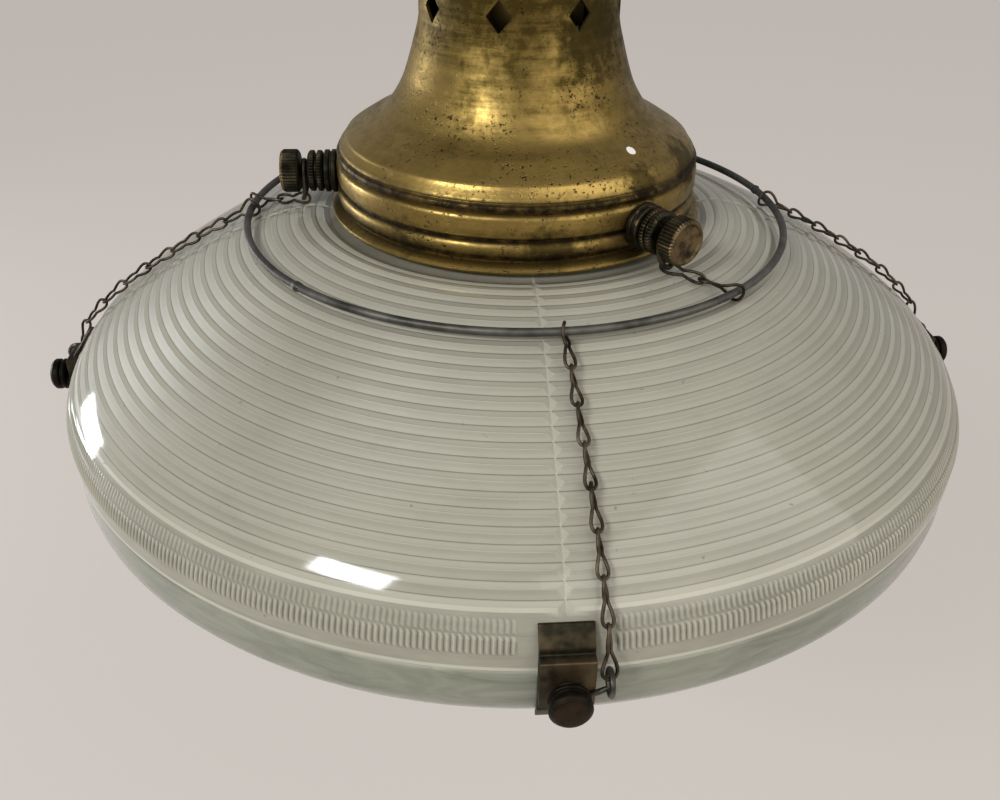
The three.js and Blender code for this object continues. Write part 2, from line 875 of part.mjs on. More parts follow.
const bulbTop = boreTop - gap - socket.contactHeight - gap;
const bulbCapTop = bulbTop - bulb.tipLength - gap;
const bulbCapBottom = bulbCapTop - bulb.capLength;
const bulbBottom = bulbTop - bulb.length;
const globeHeight = bulbBottom + bulb.globeRadius;
const globeTurns = 5;
const bulbWaistShare = [[0.72, 0.3], [0.5, 0.58], [0.42, 0.82]];

// The bulb's outline from its foot up to its neck, moved in by an inset.
function bulbLine(inset) {
  const points = [];
  for (let i = 0; i <= globeTurns; i += 1) {
    const angle = i / globeTurns * (Math.PI / 2);
    const radius = bulb.globeRadius - inset;
    points.push([radius * Math.sin(angle), globeHeight - radius * Math.cos(angle)]);
  }
  const neck = bulbCapBottom + gap;
  const rise = neck - globeHeight;
  const spread = bulb.globeRadius - bulb.neckRadius;
  for (const [across, up] of bulbWaistShare) {
    const radius = bulb.neckRadius + (across - bulbWaistShare[2][0]) / (1 - bulbWaistShare[2][0]) * spread;
    points.push([radius - inset, globeHeight + up * rise]);
  }
  points.push([bulb.neckRadius - inset, neck + bulb.capLength / 3]);
  return points;
}

function makeBulbGlass() {
  return turned([...bulbLine(0), ...bulbLine(bulb.wall).reverse()], facets.knob);
}

function makeBulbCap() {
  const inner = bulb.capRadius - bulb.capSheet;
  const shoulder = bulb.tipRadius + gap;
  return turnedRing([
    [inner, bulbCapBottom],
    [bulb.capRadius, bulbCapBottom],
    [bulb.capRadius, bulbCapTop - bulb.tipLength],
    [shoulder + bulb.tipLength, bulbCapTop],
    [shoulder, bulbCapTop],
    [shoulder, bulbCapTop - bulb.capSheet],
    [inner, bulbCapTop - bulb.tipLength - bulb.capSheet],
  ], facets.knob);
}

function makeBulbTip() {
  const bottom = bulbCapTop - bulb.capSheet - gap;
  return turned([
    [0, bottom],
    [bulb.tipRadius, bottom],
    [bulb.tipRadius, bulbTop - bulb.capSheet],
    [bulb.tipRadius / 2, bulbTop],
    [0, bulbTop],
  ], facets.knob);
}

function makeBulbStem() {
  const top = bulbCapTop - bulb.capSheet - gap - gap;
  const bottom = bulbCapBottom - bulb.stemLength;
  return turned([
    [0, bottom],
    [bulb.stemRadius / 2, bottom],
    [bulb.stemRadius / 2, bulbCapBottom],
    [bulb.stemRadius, top - bulb.capLength / 2],
    [bulb.stemRadius / 2, top],
    [0, top],
  ], facets.small);
}

// Assembly

const brass = metal(colours.brass, 0.42);
const darkBrass = metal(colours.darkBrass, 0.5);
const wireMetal = metal(colours.wire, 0.55);
const steel = metal(colours.steel, 0.45);
const porcelain = dull(colours.porcelain, 0.3);
const clearGlass = dull(colours.bulbGlass, 0.2);

function addTop() {
  addPiece('hanging_loop', makeHangingLoop(), darkBrass);
  addPiece('loop_collar', makeLoopCollar(), brass);
  const nipple = tubePiece(fitting.nippleBore, fitting.nippleRadius, nippleBottom, nippleTop, facets.knob);
  addPiece('nipple', nipple, brass);
  addPiece('lock_nut', makeNut(), steel);
  addPiece('holder_bell', makeHolder(), brass, spoke(screw.firstAngle));
}

function addScrews() {
  for (let i = 0; i < screw.count; i += 1) {
    const group = spoke(screw.firstAngle + i * screw.angleStep);
    addPiece(`boss_${i + 1}`, makeBoss().translate(0, 0, screwHeight), darkBrass, group);
    addPiece(`holder_screw_${i + 1}`, makeScrew().translate(0, 0, screwHeight), darkBrass, group);
    addPiece(`eyelet_${i + 1}`, makeEyelet(), wireMetal, group);
    const [near, far] = makeShortLinks(i);
    addPiece(`short_link_${i + 1}_near`, near, wireMetal);
    addPiece(`short_link_${i + 1}_far`, far, wireMetal);
  }
}

function addRing() {
  const hoop = new THREE.TorusGeometry(ringRadius, ring.wire, facets.wire, facets.ringSteps);
  addPiece('ring', hoop.translate(0, 0, ringHeight), wireMetal);
}

function addClips() {
  const half = chain.links / 2;
  const joints = chainJoints();
  clipSides.forEach((side, i) => {
    const angle = clip.firstAngle + i * 360 / clipSides.length;
    const chainGroup = spoke(angle + eyeAngle(side));
    addPiece(`chain_${i + 1}_upper`, makeChainRun(joints, 0, half), wireMetal, chainGroup);
    addPiece(`chain_${i + 1}_lower`, makeChainRun(joints, half, chain.links), wireMetal, chainGroup);
    const group = spoke(angle);
    addPiece(`clip_${i + 1}`, makeClip(), darkBrass, group);
    addPiece(`clip_screw_${i + 1}`, makeClipScrew().translate(0, 0, clipScrew.height), darkBrass, group);
    addPiece(`clip_hook_${i + 1}`, makeHook(side), wireMetal, group);
  });
}

function addGlasses() {
  const group = spoke(clip.firstAngle);
  addPiece('upper_glass', makeDome(), dull(colours.upperGlass, 0.35), group);
  addPiece('lower_glass', makeBowl(), dull(colours.lowerGlass, 0.35), group);
}

function addLampholder() {
  addPiece('socket_cap', makeSocketCap(), brass);
  addPiece('socket_body', makeSocketBody(), porcelain);
  addPiece('socket_shell', tubePiece(shellInner, shellOuter, bodyBottom + gap, boreTop - gap, facets.knob), brass);
  const contact = new THREE.CylinderGeometry(
    socket.contactRadius,
    socket.contactRadius,
    socket.contactHeight,
    facets.small,
  );
  contact.rotateX(Math.PI / 2).translate(0, 0, boreTop - gap - socket.contactHeight / 2);
  addPiece('centre_contact', contact, brass);
  addPiece('terminal_screw_1', makeTerminalScrew(1), steel);
  addPiece('terminal_screw_2', makeTerminalScrew(-1), steel);
}

function addBulb() {
  addPiece('bulb_glass', makeBulbGlass(), clearGlass);
  addPiece('bulb_cap', makeBulbCap(), steel);
  addPiece('bulb_tip', makeBulbTip(), steel);
  addPiece('bulb_stem', makeBulbStem(), clearGlass);
}

addTop();
addScrews();
addRing();
addClips();
addGlasses();
addLampholder();
addBulb();

const part = new THREE.Group();
part.add(lamp);

export default part;
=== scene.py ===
"""The looks of a glass pendant light: brass holder, ribbed glass dome, glass bowl, chains and clips."""

import logging
import math
from collections.abc import Sequence
from dataclasses import dataclass
from enum import Enum
from functools import cached_property

import bmesh
import bpy
from mathutils import Matrix, Vector


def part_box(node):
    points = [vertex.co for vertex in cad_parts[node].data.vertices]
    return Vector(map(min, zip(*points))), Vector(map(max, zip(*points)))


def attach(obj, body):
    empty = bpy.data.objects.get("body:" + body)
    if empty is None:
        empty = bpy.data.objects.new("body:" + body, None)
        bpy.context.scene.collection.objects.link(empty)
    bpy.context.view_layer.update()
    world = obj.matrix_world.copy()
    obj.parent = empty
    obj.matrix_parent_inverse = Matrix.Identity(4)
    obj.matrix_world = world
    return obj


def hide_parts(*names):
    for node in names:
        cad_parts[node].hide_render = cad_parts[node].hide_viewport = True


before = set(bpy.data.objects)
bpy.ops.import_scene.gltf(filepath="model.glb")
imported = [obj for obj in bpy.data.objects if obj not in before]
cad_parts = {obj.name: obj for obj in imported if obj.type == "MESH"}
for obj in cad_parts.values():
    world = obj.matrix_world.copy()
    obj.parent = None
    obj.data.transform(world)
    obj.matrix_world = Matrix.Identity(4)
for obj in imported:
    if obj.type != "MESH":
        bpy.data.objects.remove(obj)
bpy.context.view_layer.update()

log = logging.getLogger("pendant_light")

MM = 0.001
GAP = 0.3
CREASE = 32.0
WIRE_CREASE = 50.0
TINY = 1e-6
SAME_POINT = 1e-7
HARDLY = 0.01
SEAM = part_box("upper_glass")[0][2] / MM - GAP / 2

Pair = tuple[float, float]
Triple = tuple[float, float, float]
Quad = tuple[float, float, float, float]
Outline = list[Pair]
Line = list[Vector]
Shape = bmesh.types.BMesh
Vert = bmesh.types.BMVert
Element = Vert | bmesh.types.BMEdge
Layer = bmesh.types.BMLayerItem
Piece = bpy.types.Object
Material = bpy.types.Material
Socket = bpy.types.NodeSocket


class Body(Enum):
    """The bodies of the frame that pieces ride on, as name patterns."""

    LAMP = "lamp"
    EYELET = "eyelet_{}"
    HOLDER_SCREW = "holder_screw_{}"
    SHORT_NEAR = "short_link_{}_near"
    SHORT_FAR = "short_link_{}_far"
    CHAIN_UPPER = "chain_{}_upper"
    CHAIN_LOWER = "chain_{}_lower"
    CLIP_HOOK = "clip_hook_{}"
    CLIP_SCREW = "clip_screw_{}"

    def of(self, number: int) -> str:
        """Gives the name of one of the bodies."""
        return self.value.format(number)


LAMP = Body.LAMP.value


class Slot(Enum):
    """The finishes that the record names."""

    DARK_BRASS = "dark_brass"
    AGED_BRASS = "aged_brass"
    PLATED_STEEL = "plated_steel"
    BULB_METAL = "bulb_metal"
    DARK_WIRE = "dark_wire"
    UPPER_GLASS = "upper_glass"
    LOWER_GLASS = "lower_glass"
    PORCELAIN = "porcelain"
    BULB_GLASS = "bulb_glass"


def seam_up(height: float) -> float:
    """Turns a height above the seam of the two glasses into one in the frame, both in millimetres."""
    return height + SEAM


def spoke(degrees: float, height: float = 0.0) -> Matrix:
    """Turns a piece that is drawn out along +X to an angle about the lamp, at a height above the seam.

    Args:
        degrees: The angle about the lamp's axis.
        height: The height above the seam, in millimetres.

    Returns:
        The matrix, in metres.
    """
    lift = Matrix.Translation((0, 0, seam_up(height) * MM))
    return Matrix.Rotation(math.radians(degrees), 4, "Z") @ lift


LIE_OUTWARD = Matrix.Rotation(math.pi / 2, 4, "Y")


def rounded(outline: Outline, radius: float, steps: int = 3, closed: bool = True) -> Outline:
    """Rounds the corners of an outline with short arcs.

    Args:
        outline: The corner points.
        radius: The radius aimed at, less where an edge is short.
        steps: The points on each arc, less one.
        closed: Whether the outline's ends meet.

    Returns:
        The outline with its corners rounded.
    """
    points = [Vector(point) for point in outline]
    count = len(points)
    result: Outline = []
    for index, corner in enumerate(points):
        at_end = not closed and index in (0, count - 1)
        before = points[index - 1] - corner
        after = points[(index + 1) % count] - corner
        if at_end or before.length < TINY or after.length < TINY:
            result.append(tuple(corner))
            continue
        reach = min(radius, before.length * 0.45, after.length * 0.45)
        start = corner + before.normalized() * reach
        end = corner + after.normalized() * reach
        for step in range(steps + 1):
            share = step / steps
            bend = start.lerp(corner, share).lerp(corner.lerp(end, share), share)
            result.append(tuple(bend))
    return result


def flowing(points: Sequence[Sequence[float]], per_span: int) -> Line:
    """Draws a smooth line through points.

    Args:
        points: The points that the line passes.
        per_span: How many steps lie between two points.

    Returns:
        The points of the line.
    """
    knots = [Vector(point) for point in points]
    knots = [knots[0] * 2 - knots[1], *knots, knots[-1] * 2 - knots[-2]]
    line = []
    for a, b, c, d in zip(knots, knots[1:], knots[2:], knots[3:]):
        for step in range(per_span):
            t = step / per_span
            line.append(0.5 * (2 * b + (c - a) * t + (2 * a - 5 * b + 4 * c - d) * t**2
                               + (3 * b - a - 3 * c + d) * t**3))
    return [*line, knots[-2]]


def pulled(start: Vector, first: Vector, second: Vector, end: Vector, steps: int) -> Line:
    """Draws a curve from start to end that two further points pull towards them.

    Args:
        start: The curve's first point.
        first: The point that the curve leaves towards.
        second: The point that the curve arrives from.
        end: The curve's last point.
        steps: The steps of the curve.

    Returns:
        The points of the curve, with both ends.
    """
    line = []
    for step in range(steps + 1):
        t = step / steps
        line.append(start * (1 - t) ** 3 + 3 * first * t * (1 - t) ** 2
                    + 3 * second * t**2 * (1 - t) + end * t**3)
    return line


def even_points(line: Sequence[Vector], parts: int) -> Line:
    """Divides a line into equal lengths.

    Args:
        line: The points of the line.
        parts: The number of lengths.

    Returns:
        The dividing points, with both ends.
    """
    runs = [0.0]
    for start, end in zip(line, line[1:]):
        runs.append(runs[-1] + (end - start).length)
    result = []
    for part in range(parts + 1):
        goal = runs[-1] * part / parts
        index = next((i for i in range(1, len(runs)) if runs[i] >= goal - 1e-9), len(runs) - 1)
        share = (goal - runs[index - 1]) / (runs[index] - runs[index - 1])
        result.append(line[index - 1].lerp(line[index], share))
    return result


def new_piece(name: str, shape: Shape, crease: float = CREASE) -> Piece:
    """Makes an object of a bmesh, smooth where it bends less than a crease.

    Args:
        name: The piece's name.
        shape: The bmesh, which is freed.
        crease: The angle in degrees from which an edge stays sharp.

    Returns:
        The object, at the origin.
    """
    mesh = bpy.data.meshes.new(name)
    shape.to_mesh(mesh)
    shape.free()
    mesh.shade_smooth()
    mesh.set_sharp_from_angle(angle=math.radians(crease))
    piece = bpy.data.objects.new(name, mesh)
    bpy.context.scene.collection.objects.link(piece)
    return piece


def profile(shape: Shape, outline: Outline, closed: bool) -> list[Element]:
    """Draws an outline of radii and heights in the upright plane through +X.

    Args:
        shape: The bmesh that gets the line.
        outline: The radii and heights in millimetres.
        closed: Whether the outline's ends meet.

    Returns:
        The line's points, then its edges.
    """
    verts = [shape.verts.new((radius * MM, 0, height * MM)) for radius, height in outline]
    after = verts[1:] + verts[:1] if closed else verts[1:]
    return verts + [shape.edges.new(pair) for pair in zip(verts, after)]


def turned(outline: Outline, steps: int, closed: bool = True) -> Shape:
    """Spins an outline of radii and heights about Z.

    Args:
        outline: The radii and heights in millimetres.
        steps: The steps of the full turn.
        closed: Whether the outline's ends meet; otherwise both ends lie on the axis.

    Returns:
        The bmesh, in metres.
    """
    shape = bmesh.new()
    line = profile(shape, outline, closed)
    bmesh.ops.spin(shape, geom=line, cent=(0, 0, 0), axis=(0, 0, 1), angle=math.tau, steps=steps,
                   use_merge=True)
    tidy(shape)
    return shape


def tidy(shape: Shape) -> None:
    """Merges doubled points, drops faces without area and points the faces outwards.

    Args:
        shape: The bmesh, in metres.
    """
    bmesh.ops.remove_doubles(shape, verts=shape.verts, dist=SAME_POINT)
    bmesh.ops.dissolve_degenerate(shape, dist=SAME_POINT / 10, edges=shape.edges)
    bmesh.ops.recalc_face_normals(shape, faces=shape.faces)


def laid(shape: Shape, matrix: Matrix) -> Shape:
    """Moves a shape by a matrix and gives it back."""
    bmesh.ops.transform(shape, matrix=matrix, verts=shape.verts)
    return shape


def rod(radius: float, length: float) -> Shape:
    """Makes a round rod about Z.

    Args:
        radius: The rod's radius in millimetres.
        length: Its length in millimetres.

    Returns:
        The closed rod, with its middle at the origin.
    """
    shape = bmesh.new()
    bmesh.ops.create_cone(shape, cap_ends=True, segments=24, radius1=radius * MM, radius2=radius * MM,
                          depth=length * MM)
    return shape


def thicken(shape: Shape, offset: Sequence[float]) -> None:
    """Makes a solid of a flat face by drawing it out along an offset.

    Args:
        shape: The bmesh with the face.
        offset: How far the face is drawn out, in metres.
    """
    made = bmesh.ops.extrude_face_region(shape, geom=shape.faces[:])
    moved = [item for item in made["geom"] if isinstance(item, Vert)]
    bmesh.ops.translate(shape, vec=offset, verts=moved)
    bmesh.ops.recalc_face_normals(shape, faces=shape.faces)


def rub_above(shape: Shape, height: float) -> None:
    """Marks the points above a height, in millimetres, as rubbed by hands.

    Args:
        shape: The bmesh.
        height: The height in millimetres.
    """
    rub = shape.verts.layers.float.new("rub")
    for vert in shape.verts:
        vert[rub] = float(vert.co.z > height * MM)


def milled(shape: Shape, count: int, depth: float, low: float, high: float, inside: float) -> None:
    """Cuts fine grooves along the edge of a turned piece.

    Args:
        shape: The turned bmesh about Z.
        count: The grooves around the edge.
        depth: Their depth in millimetres.
        low: The lowest height that is grooved, in millimetres.
        high: The highest height that is grooved, in millimetres.
        inside: The radius in millimetres below which nothing is grooved.
    """
    for vert in shape.verts:
        radius = vert.co.xy.length
        if radius > inside * MM and low * MM <= vert.co.z <= high * MM:
            angle = math.atan2(vert.co.y, vert.co.x)
            vert.co.xy *= 1 - depth * MM * (0.5 - 0.5 * math.cos(count * angle)) / radius


def wire(name: str, points: Sequence[Vector], radius: float, closed: bool, sides: int = 3) -> Piece:
    """Makes a round wire along points.

    Args:
        name: The piece's name.
        points: The middle line, in millimetres.
        radius: The wire's radius in millimetres.
        closed: Whether the wire's ends meet.
        sides: Blender's bevel resolution, from which the wire gets its sides.

    Returns:
        The wire as a mesh object, at the origin.
    """
    line = bpy.data.curves.new(name, "CURVE")
    line.dimensions = "3D"
    line.bevel_depth = radius * MM
    line.bevel_resolution = sides
    line.use_fill_caps = not closed
    spline = line.splines.new("POLY")
    spline.points.add(len(points) - 1)
    for knot, point in zip(spline.points, points):
        knot.co = (*(point * MM), 1)
    spline.use_cyclic_u = closed
    strand = bpy.data.objects.new(name + "_line", line)
    bpy.context.scene.collection.objects.link(strand)
    seen = strand.evaluated_get(bpy.context.evaluated_depsgraph_get())
    mesh = bpy.data.meshes.new_from_object(seen)
    bpy.data.objects.remove(strand)
    bpy.data.curves.remove(line)
    mesh.materials.clear()
    shape = bmesh.new()
    shape.from_mesh(mesh)
    bpy.data.meshes.remove(mesh)
    tidy(shape)
    return new_piece(name, shape, WIRE_CREASE)


def circle(radius: float, steps: int, start: float = 0.0, sweep: float = 360.0) -> Line:
    """Gives points on a circle about +X, beginning above its centre, in millimetres.

    Args:
        radius: The circle's radius in millimetres.
        steps: The steps of the sweep.
        start: The first point's angle in degrees.
        sweep: How far the points go, in degrees.

    Returns:
        The points, without the last where the circle closes.
    """
    full = abs(sweep) >= 360.0
    angles = [math.radians(start + sweep * i / steps) for i in range(steps if full else steps + 1)]
    return [Vector((0, radius * math.sin(a), radius * math.cos(a))) for a in angles]


def cut_away(piece: Piece, cutters: Sequence[Shape]) -> None:
    """Cuts shapes out of a piece for good.

    Args:
        piece: The piece, whose mesh is replaced.
        cutters: The closed shapes to take away, which are freed.
    """
    for index, shape in enumerate(cutters):
        tool = new_piece(f"{piece.name}_cutter_{index}", shape)
        step = piece.modifiers.new("cut", "BOOLEAN")
        step.operation = "DIFFERENCE"
        step.solver = "EXACT"
        step.object = tool
    seen = piece.evaluated_get(bpy.context.evaluated_depsgraph_get())
    mesh = bpy.data.meshes.new_from_object(seen)
    tools = [step.object for step in piece.modifiers]
    piece.modifiers.clear()
    old = piece.data
    piece.data = mesh
    bpy.data.meshes.remove(old)
    for tool in tools:
        bpy.data.objects.remove(tool)
    mesh.shade_smooth()
    mesh.set_sharp_from_angle(angle=math.radians(CREASE))


def fit(
    piece: Piece,
    body: str,
    material: Material,
    stands_for: Sequence[str] = (),
) -> Piece:
    """Gives a piece its finish and the body that it rides on.

    Args:
        piece: The piece.
        body: The name of the body.
        material: The material.
        stands_for: The frame's nodes that the piece replaces.

    Returns:
        The piece.
    """
    piece.data.materials.clear()
    piece.data.materials.append(material)
    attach(piece, body)
    if stands_for:
        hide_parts(*stands_for)
    return piece


class NodeSheet:
    """A material and short ways to add its nodes."""

    def __init__(self, name: str) -> None:
        """Starts an empty material with an output and a Principled shader.

        Args:
            name: The material's name.
        """
        self.material = bpy.data.materials.new(name)
        self.material.use_nodes = True
        self.tree = self.material.node_tree
        self.tree.nodes.clear()
        self.shader = self.tree.nodes.new("ShaderNodeBsdfPrincipled")
        output = self.tree.nodes.new("ShaderNodeOutputMaterial")
        self.tree.links.new(self.shader.outputs["BSDF"], output.inputs["Surface"])
        self.place = self.tree.nodes.new("ShaderNodeTexCoord").outputs["Object"]

    def put(self, socket: Socket, value: object) -> None:
        """Links a socket to another, or sets its plain value; a colour gets full alpha.

        Args:
            socket: The socket to feed.
            value: Another socket, or a plain value.
        """
        if isinstance(value, Socket):
            self.tree.links.new(value, socket)
        elif socket.type == "RGBA":
            socket.default_value = (*value, 1.0)
        else:
            socket.default_value = value

    def surface(self, **values: object) -> None:
        """Sets the shader's sockets, named with underscores for spaces."""
        for name, value in values.items():
            self.put(self.shader.inputs[name.replace("_", " ")], value)

    def noise(self, scale: float, detail: float = 4.0, rough: float = 0.55,
              stretch: Sequence[float] = (1, 1, 1), twist: float = 0.0) -> Socket:
        """Adds cloudy noise.

        Args:
            scale: Lumps per metre.
            detail: Octaves of finer lumps.
            rough: How strong the finer lumps are.
            stretch: Scale along each axis.
            twist: How far the lumps are drawn out of shape.

        Returns:
            The noise, from 0 to 1.
        """
        lay = self.tree.nodes.new("ShaderNodeMapping")
        self.put(lay.inputs["Vector"], self.place)
        lay.inputs["Scale"].default_value = stretch
        lumps = self.tree.nodes.new("ShaderNodeTexNoise")
        self.put(lumps.inputs["Vector"], lay.outputs["Vector"])
        lumps.inputs["Scale"].default_value = scale
        lumps.inputs["Detail"].default_value = detail
        lumps.inputs["Roughness"].default_value = rough
        lumps.inputs["Distortion"].default_value = twist
        return lumps.outputs["Fac"]

    def ramp(self, factor: Socket, stops: Sequence[Pair]) -> Socket:
        """Bends a value through stops of place and level.

        Args:
            factor: The value.
            stops: Each stop's place and level.

        Returns:
            The bent value.
        """
        node = self.tree.nodes.new("ShaderNodeValToRGB")
        self.put(node.inputs["Fac"], factor)
        bar = node.color_ramp.elements
        while len(bar) < len(stops):
            bar.new(0.5)
        for element, (position, level) in zip(bar, stops):
            element.position = position
            element.color = (level, level, level, 1)
        return node.outputs["Color"]

    def blend(self, factor: object, first: object, second: object) -> Socket:
        """Mixes two colours by a factor.

        Args:
            factor: The second colour's share.
            first: The first colour.
            second: The second colour.

        Returns:
            The mixed colour.
        """
        node = self.tree.nodes.new("ShaderNodeMix")
        node.data_type = "RGBA"
        self.put(node.inputs["Factor"], factor)
        colours = [socket for socket in node.inputs if socket.type == "RGBA"]
        self.put(colours[0], first)
        self.put(colours[1], second)
        return next(socket for socket in node.outputs if socket.type == "RGBA")

    def calculate(self, operation: str, first: object, second: object = 0.5,
                  clamp: bool = False) -> Socket:
        """Works out one value from two.

        Args:
            operation: The node's operation.
            first: The first value.
            second: The second value.
            clamp: Whether the result stays in 0 to 1.

        Returns:
            The result.
        """
        node = self.tree.nodes.new("ShaderNodeMath")
        node.operation = operation
        node.use_clamp = clamp
        self.put(node.inputs[0], first)
        self.put(node.inputs[1], second)
        return node.outputs["Value"]

    def add(self, first: object, second: object) -> Socket:
        """Adds two values."""
        return self.calculate("ADD", first, second)

    def times(self, first: object, second: object) -> Socket:
        """Multiplies two values."""
        return self.calculate("MULTIPLY", first, second)

    def less(self, first: object, second: object, clamp: bool = False) -> Socket:
        """Takes the second value from the first, and keeps the result in 0 to 1 where it is clamped."""
        return self.calculate("SUBTRACT", first, second, clamp)

    def greater(self, first: object, second: object) -> Socket:
        """Gives the greater of two values."""
        return self.calculate("MAXIMUM", first, second)

    def between(self, value: Socket, low: float, high: float) -> Socket:
        """Spreads a value from low to high onto 0 to 1.

        Args:
            value: The value.
            low: What becomes 0.
            high: What becomes 1.

        Returns:
            The spread value.
        """
        node = self.tree.nodes.new("ShaderNodeMapRange")
        self.put(node.inputs["Value"], value)
        node.inputs["From Min"].default_value = low
        node.inputs["From Max"].default_value = high
        return node.outputs["Result"]

    def height(self) -> Socket:
        """Gives the Z of the surface in the frame, in metres.

        Returns:
            The height.
        """
        node = self.tree.nodes.new("ShaderNodeSeparateXYZ")
        self.put(node.inputs["Vector"], self.place)
        return node.outputs["Z"]

    def near(self, point: Sequence[float], reach: float) -> Socket:
        """Gives 1 at a point of the frame, falling to 0 at a reach, both in millimetres.

        Args:
            point: The point.
            reach: The distance at which nothing is left.

        Returns:
            The nearness.
        """
        node = self.tree.nodes.new("ShaderNodeVectorMath")
        node.operation = "DISTANCE"
        self.put(node.inputs[0], self.place)
        node.inputs[1].default_value = [value * MM for value in point]
        return self.less(1.0, self.calculate("DIVIDE", node.outputs["Value"], reach * MM), clamp=True)

    def mark(self, name: str) -> Socket:
        """Reads a number that the piece's own points carry.

        Args:
            name: The attribute's name.

        Returns:
            The number.
        """
        node = self.tree.nodes.new("ShaderNodeAttribute")
        node.attribute_name = name
        return node.outputs["Fac"]

    def bump(self, height: Socket, distance: float, strength: float = 1.0) -> None:
        """Adds relief to the shader, with its depth in millimetres.

        Args:
            height: The relief, from 0 to 1.
            distance: Its depth in millimetres.
            strength: How much of it shows.
        """
        node = self.tree.nodes.new("ShaderNodeBump")
        node.inputs["Strength"].default_value = strength
        node.inputs["Distance"].default_value = distance * MM
        self.put(node.inputs["Height"], height)
        self.put(self.shader.inputs["Normal"], node.outputs["Normal"])


@dataclass(frozen=True)
class AgedBrass:
    """Brass worn bright in clouds, brown where it has aged and browner upwards as painted shade, with
    specks, and grime and painted shade in its grooves.
    """

    bright: Triple = (0.385, 0.262, 0.078)
    brown: Triple = (0.066, 0.045, 0.011)
    grime_and_shade: Triple = (0.020, 0.014, 0.008)
    tarnish: Triple = (0.054, 0.039, 0.011)
    chipped: Triple = (0.78, 0.76, 0.7)
    clouds: float = 34.0
    streaks: float = 26.0
    specks: float = 900.0
    cloud_share: float = 0.42
    mottle_share: float = 0.26
    streak_share: float = 0.30
    upper_shade_share: float = 0.13
    chip_reach: float = 2.6
    polish: float = 0.26
    relief: float = 0.16
    grooves: tuple[Pair, ...] = ()
    upper_shade_from: Pair | None = None
    chip: Triple | None = None
    stains: tuple[Quad, ...] = ()

    def material(self, name: str) -> Material:
        """Builds the material.

        Args:
            name: The material's name.

        Returns:
            The material.
        """
        sheet = NodeSheet(name)
        clouds = sheet.noise(self.clouds, detail=6, rough=0.62, stretch=(1, 1, 0.7), twist=0.6)
        mottle = sheet.noise(self.clouds * 8, detail=5, rough=0.65)
        fine = sheet.noise(self.specks, detail=3, rough=0.6)
        streaks = sheet.noise(self.streaks, detail=6, rough=0.7, stretch=(1, 1, 16))
        age_and_shade = sheet.add(sheet.times(clouds, self.cloud_share), sheet.times(mottle, self.mottle_share))
        age_and_shade = sheet.add(age_and_shade, sheet.times(streaks, self.streak_share))
        # Painted shade: browner upwards from the first height to the second, fully so above it.
        if self.upper_shade_from:
            low, high = (seam_up(height) * MM for height in self.upper_shade_from)
            rise = sheet.greater(sheet.between(sheet.height(), low, high), 0.0)
            age_and_shade = sheet.add(age_and_shade, sheet.times(rise, self.upper_shade_share))
        age_and_shade = sheet.ramp(age_and_shade, ((0.40, 0), (0.66, 1)))
        colour = sheet.blend(age_and_shade, self.bright, self.brown)
        patches = sheet.ramp(sheet.noise(self.clouds * 2.1, detail=3), ((0.42, 0), (0.60, 1)))
        specks = sheet.times(sheet.ramp(fine, ((0.58, 0), (0.64, 1))), patches)
        colour = sheet.blend(sheet.times(specks, 0.9), colour, self.grime_and_shade)
        rough = sheet.add(self.polish, sheet.times(age_and_shade, 0.22))
        rough = sheet.add(rough, sheet.times(mottle, 0.12))
        for *spot, reach in self.stains:
            ragged = sheet.times(sheet.less(mottle, 0.5), 1.1)
            stain = sheet.ramp(sheet.add(sheet.near(spot, reach), ragged), ((0.30, 0), (0.62, 0.85)))
            colour = sheet.blend(stain, colour, self.tarnish)
            rough = sheet.add(rough, sheet.times(stain, 0.2))
        # Grime and painted shade darken the grooves.
        if self.grooves:
            grime_and_groove_shade = sheet.times(self.groove_grime_and_shade(sheet), sheet.ramp(mottle, ((0.22, 0.6), (0.6, 1))))
            colour = sheet.blend(grime_and_groove_shade, colour, self.grime_and_shade)
            rough = sheet.add(rough, sheet.times(grime_and_groove_shade, 0.15))
        metal: object = 1.0
        if self.chip:
            ragged = sheet.add(sheet.near(self.chip, self.chip_reach), sheet.times(mottle, 0.35))
            mark = sheet.ramp(ragged, ((0.55, 0), (0.60, 1)))
            colour = sheet.blend(mark, colour, self.chipped)
            metal = sheet.less(1.0, mark)
        sheet.surface(Base_Color=colour, Metallic=metal, Roughness=rough)
        grain = sheet.add(mottle, sheet.times(fine, 0.5))
        sheet.bump(sheet.less(grain, specks), self.relief, strength=0.5)
        return sheet.material

    def groove_grime_and_shade(self, sheet: NodeSheet) -> Socket:
        """Gives 1 in the grooves and 0 on the bands, by height.

        Args:
            sheet: The material's sheet.

        Returns:
            The share of grime and painted shade.
        """
        total = None
        for height, half in self.grooves:
            away = sheet.calculate("ABSOLUTE", sheet.less(sheet.height(), seam_up(height) * MM))
            line = sheet.less(1.25, sheet.calculate("DIVIDE", away, half * MM), clamp=True)
            total = line if total is None else sheet.greater(total, line)
        return total


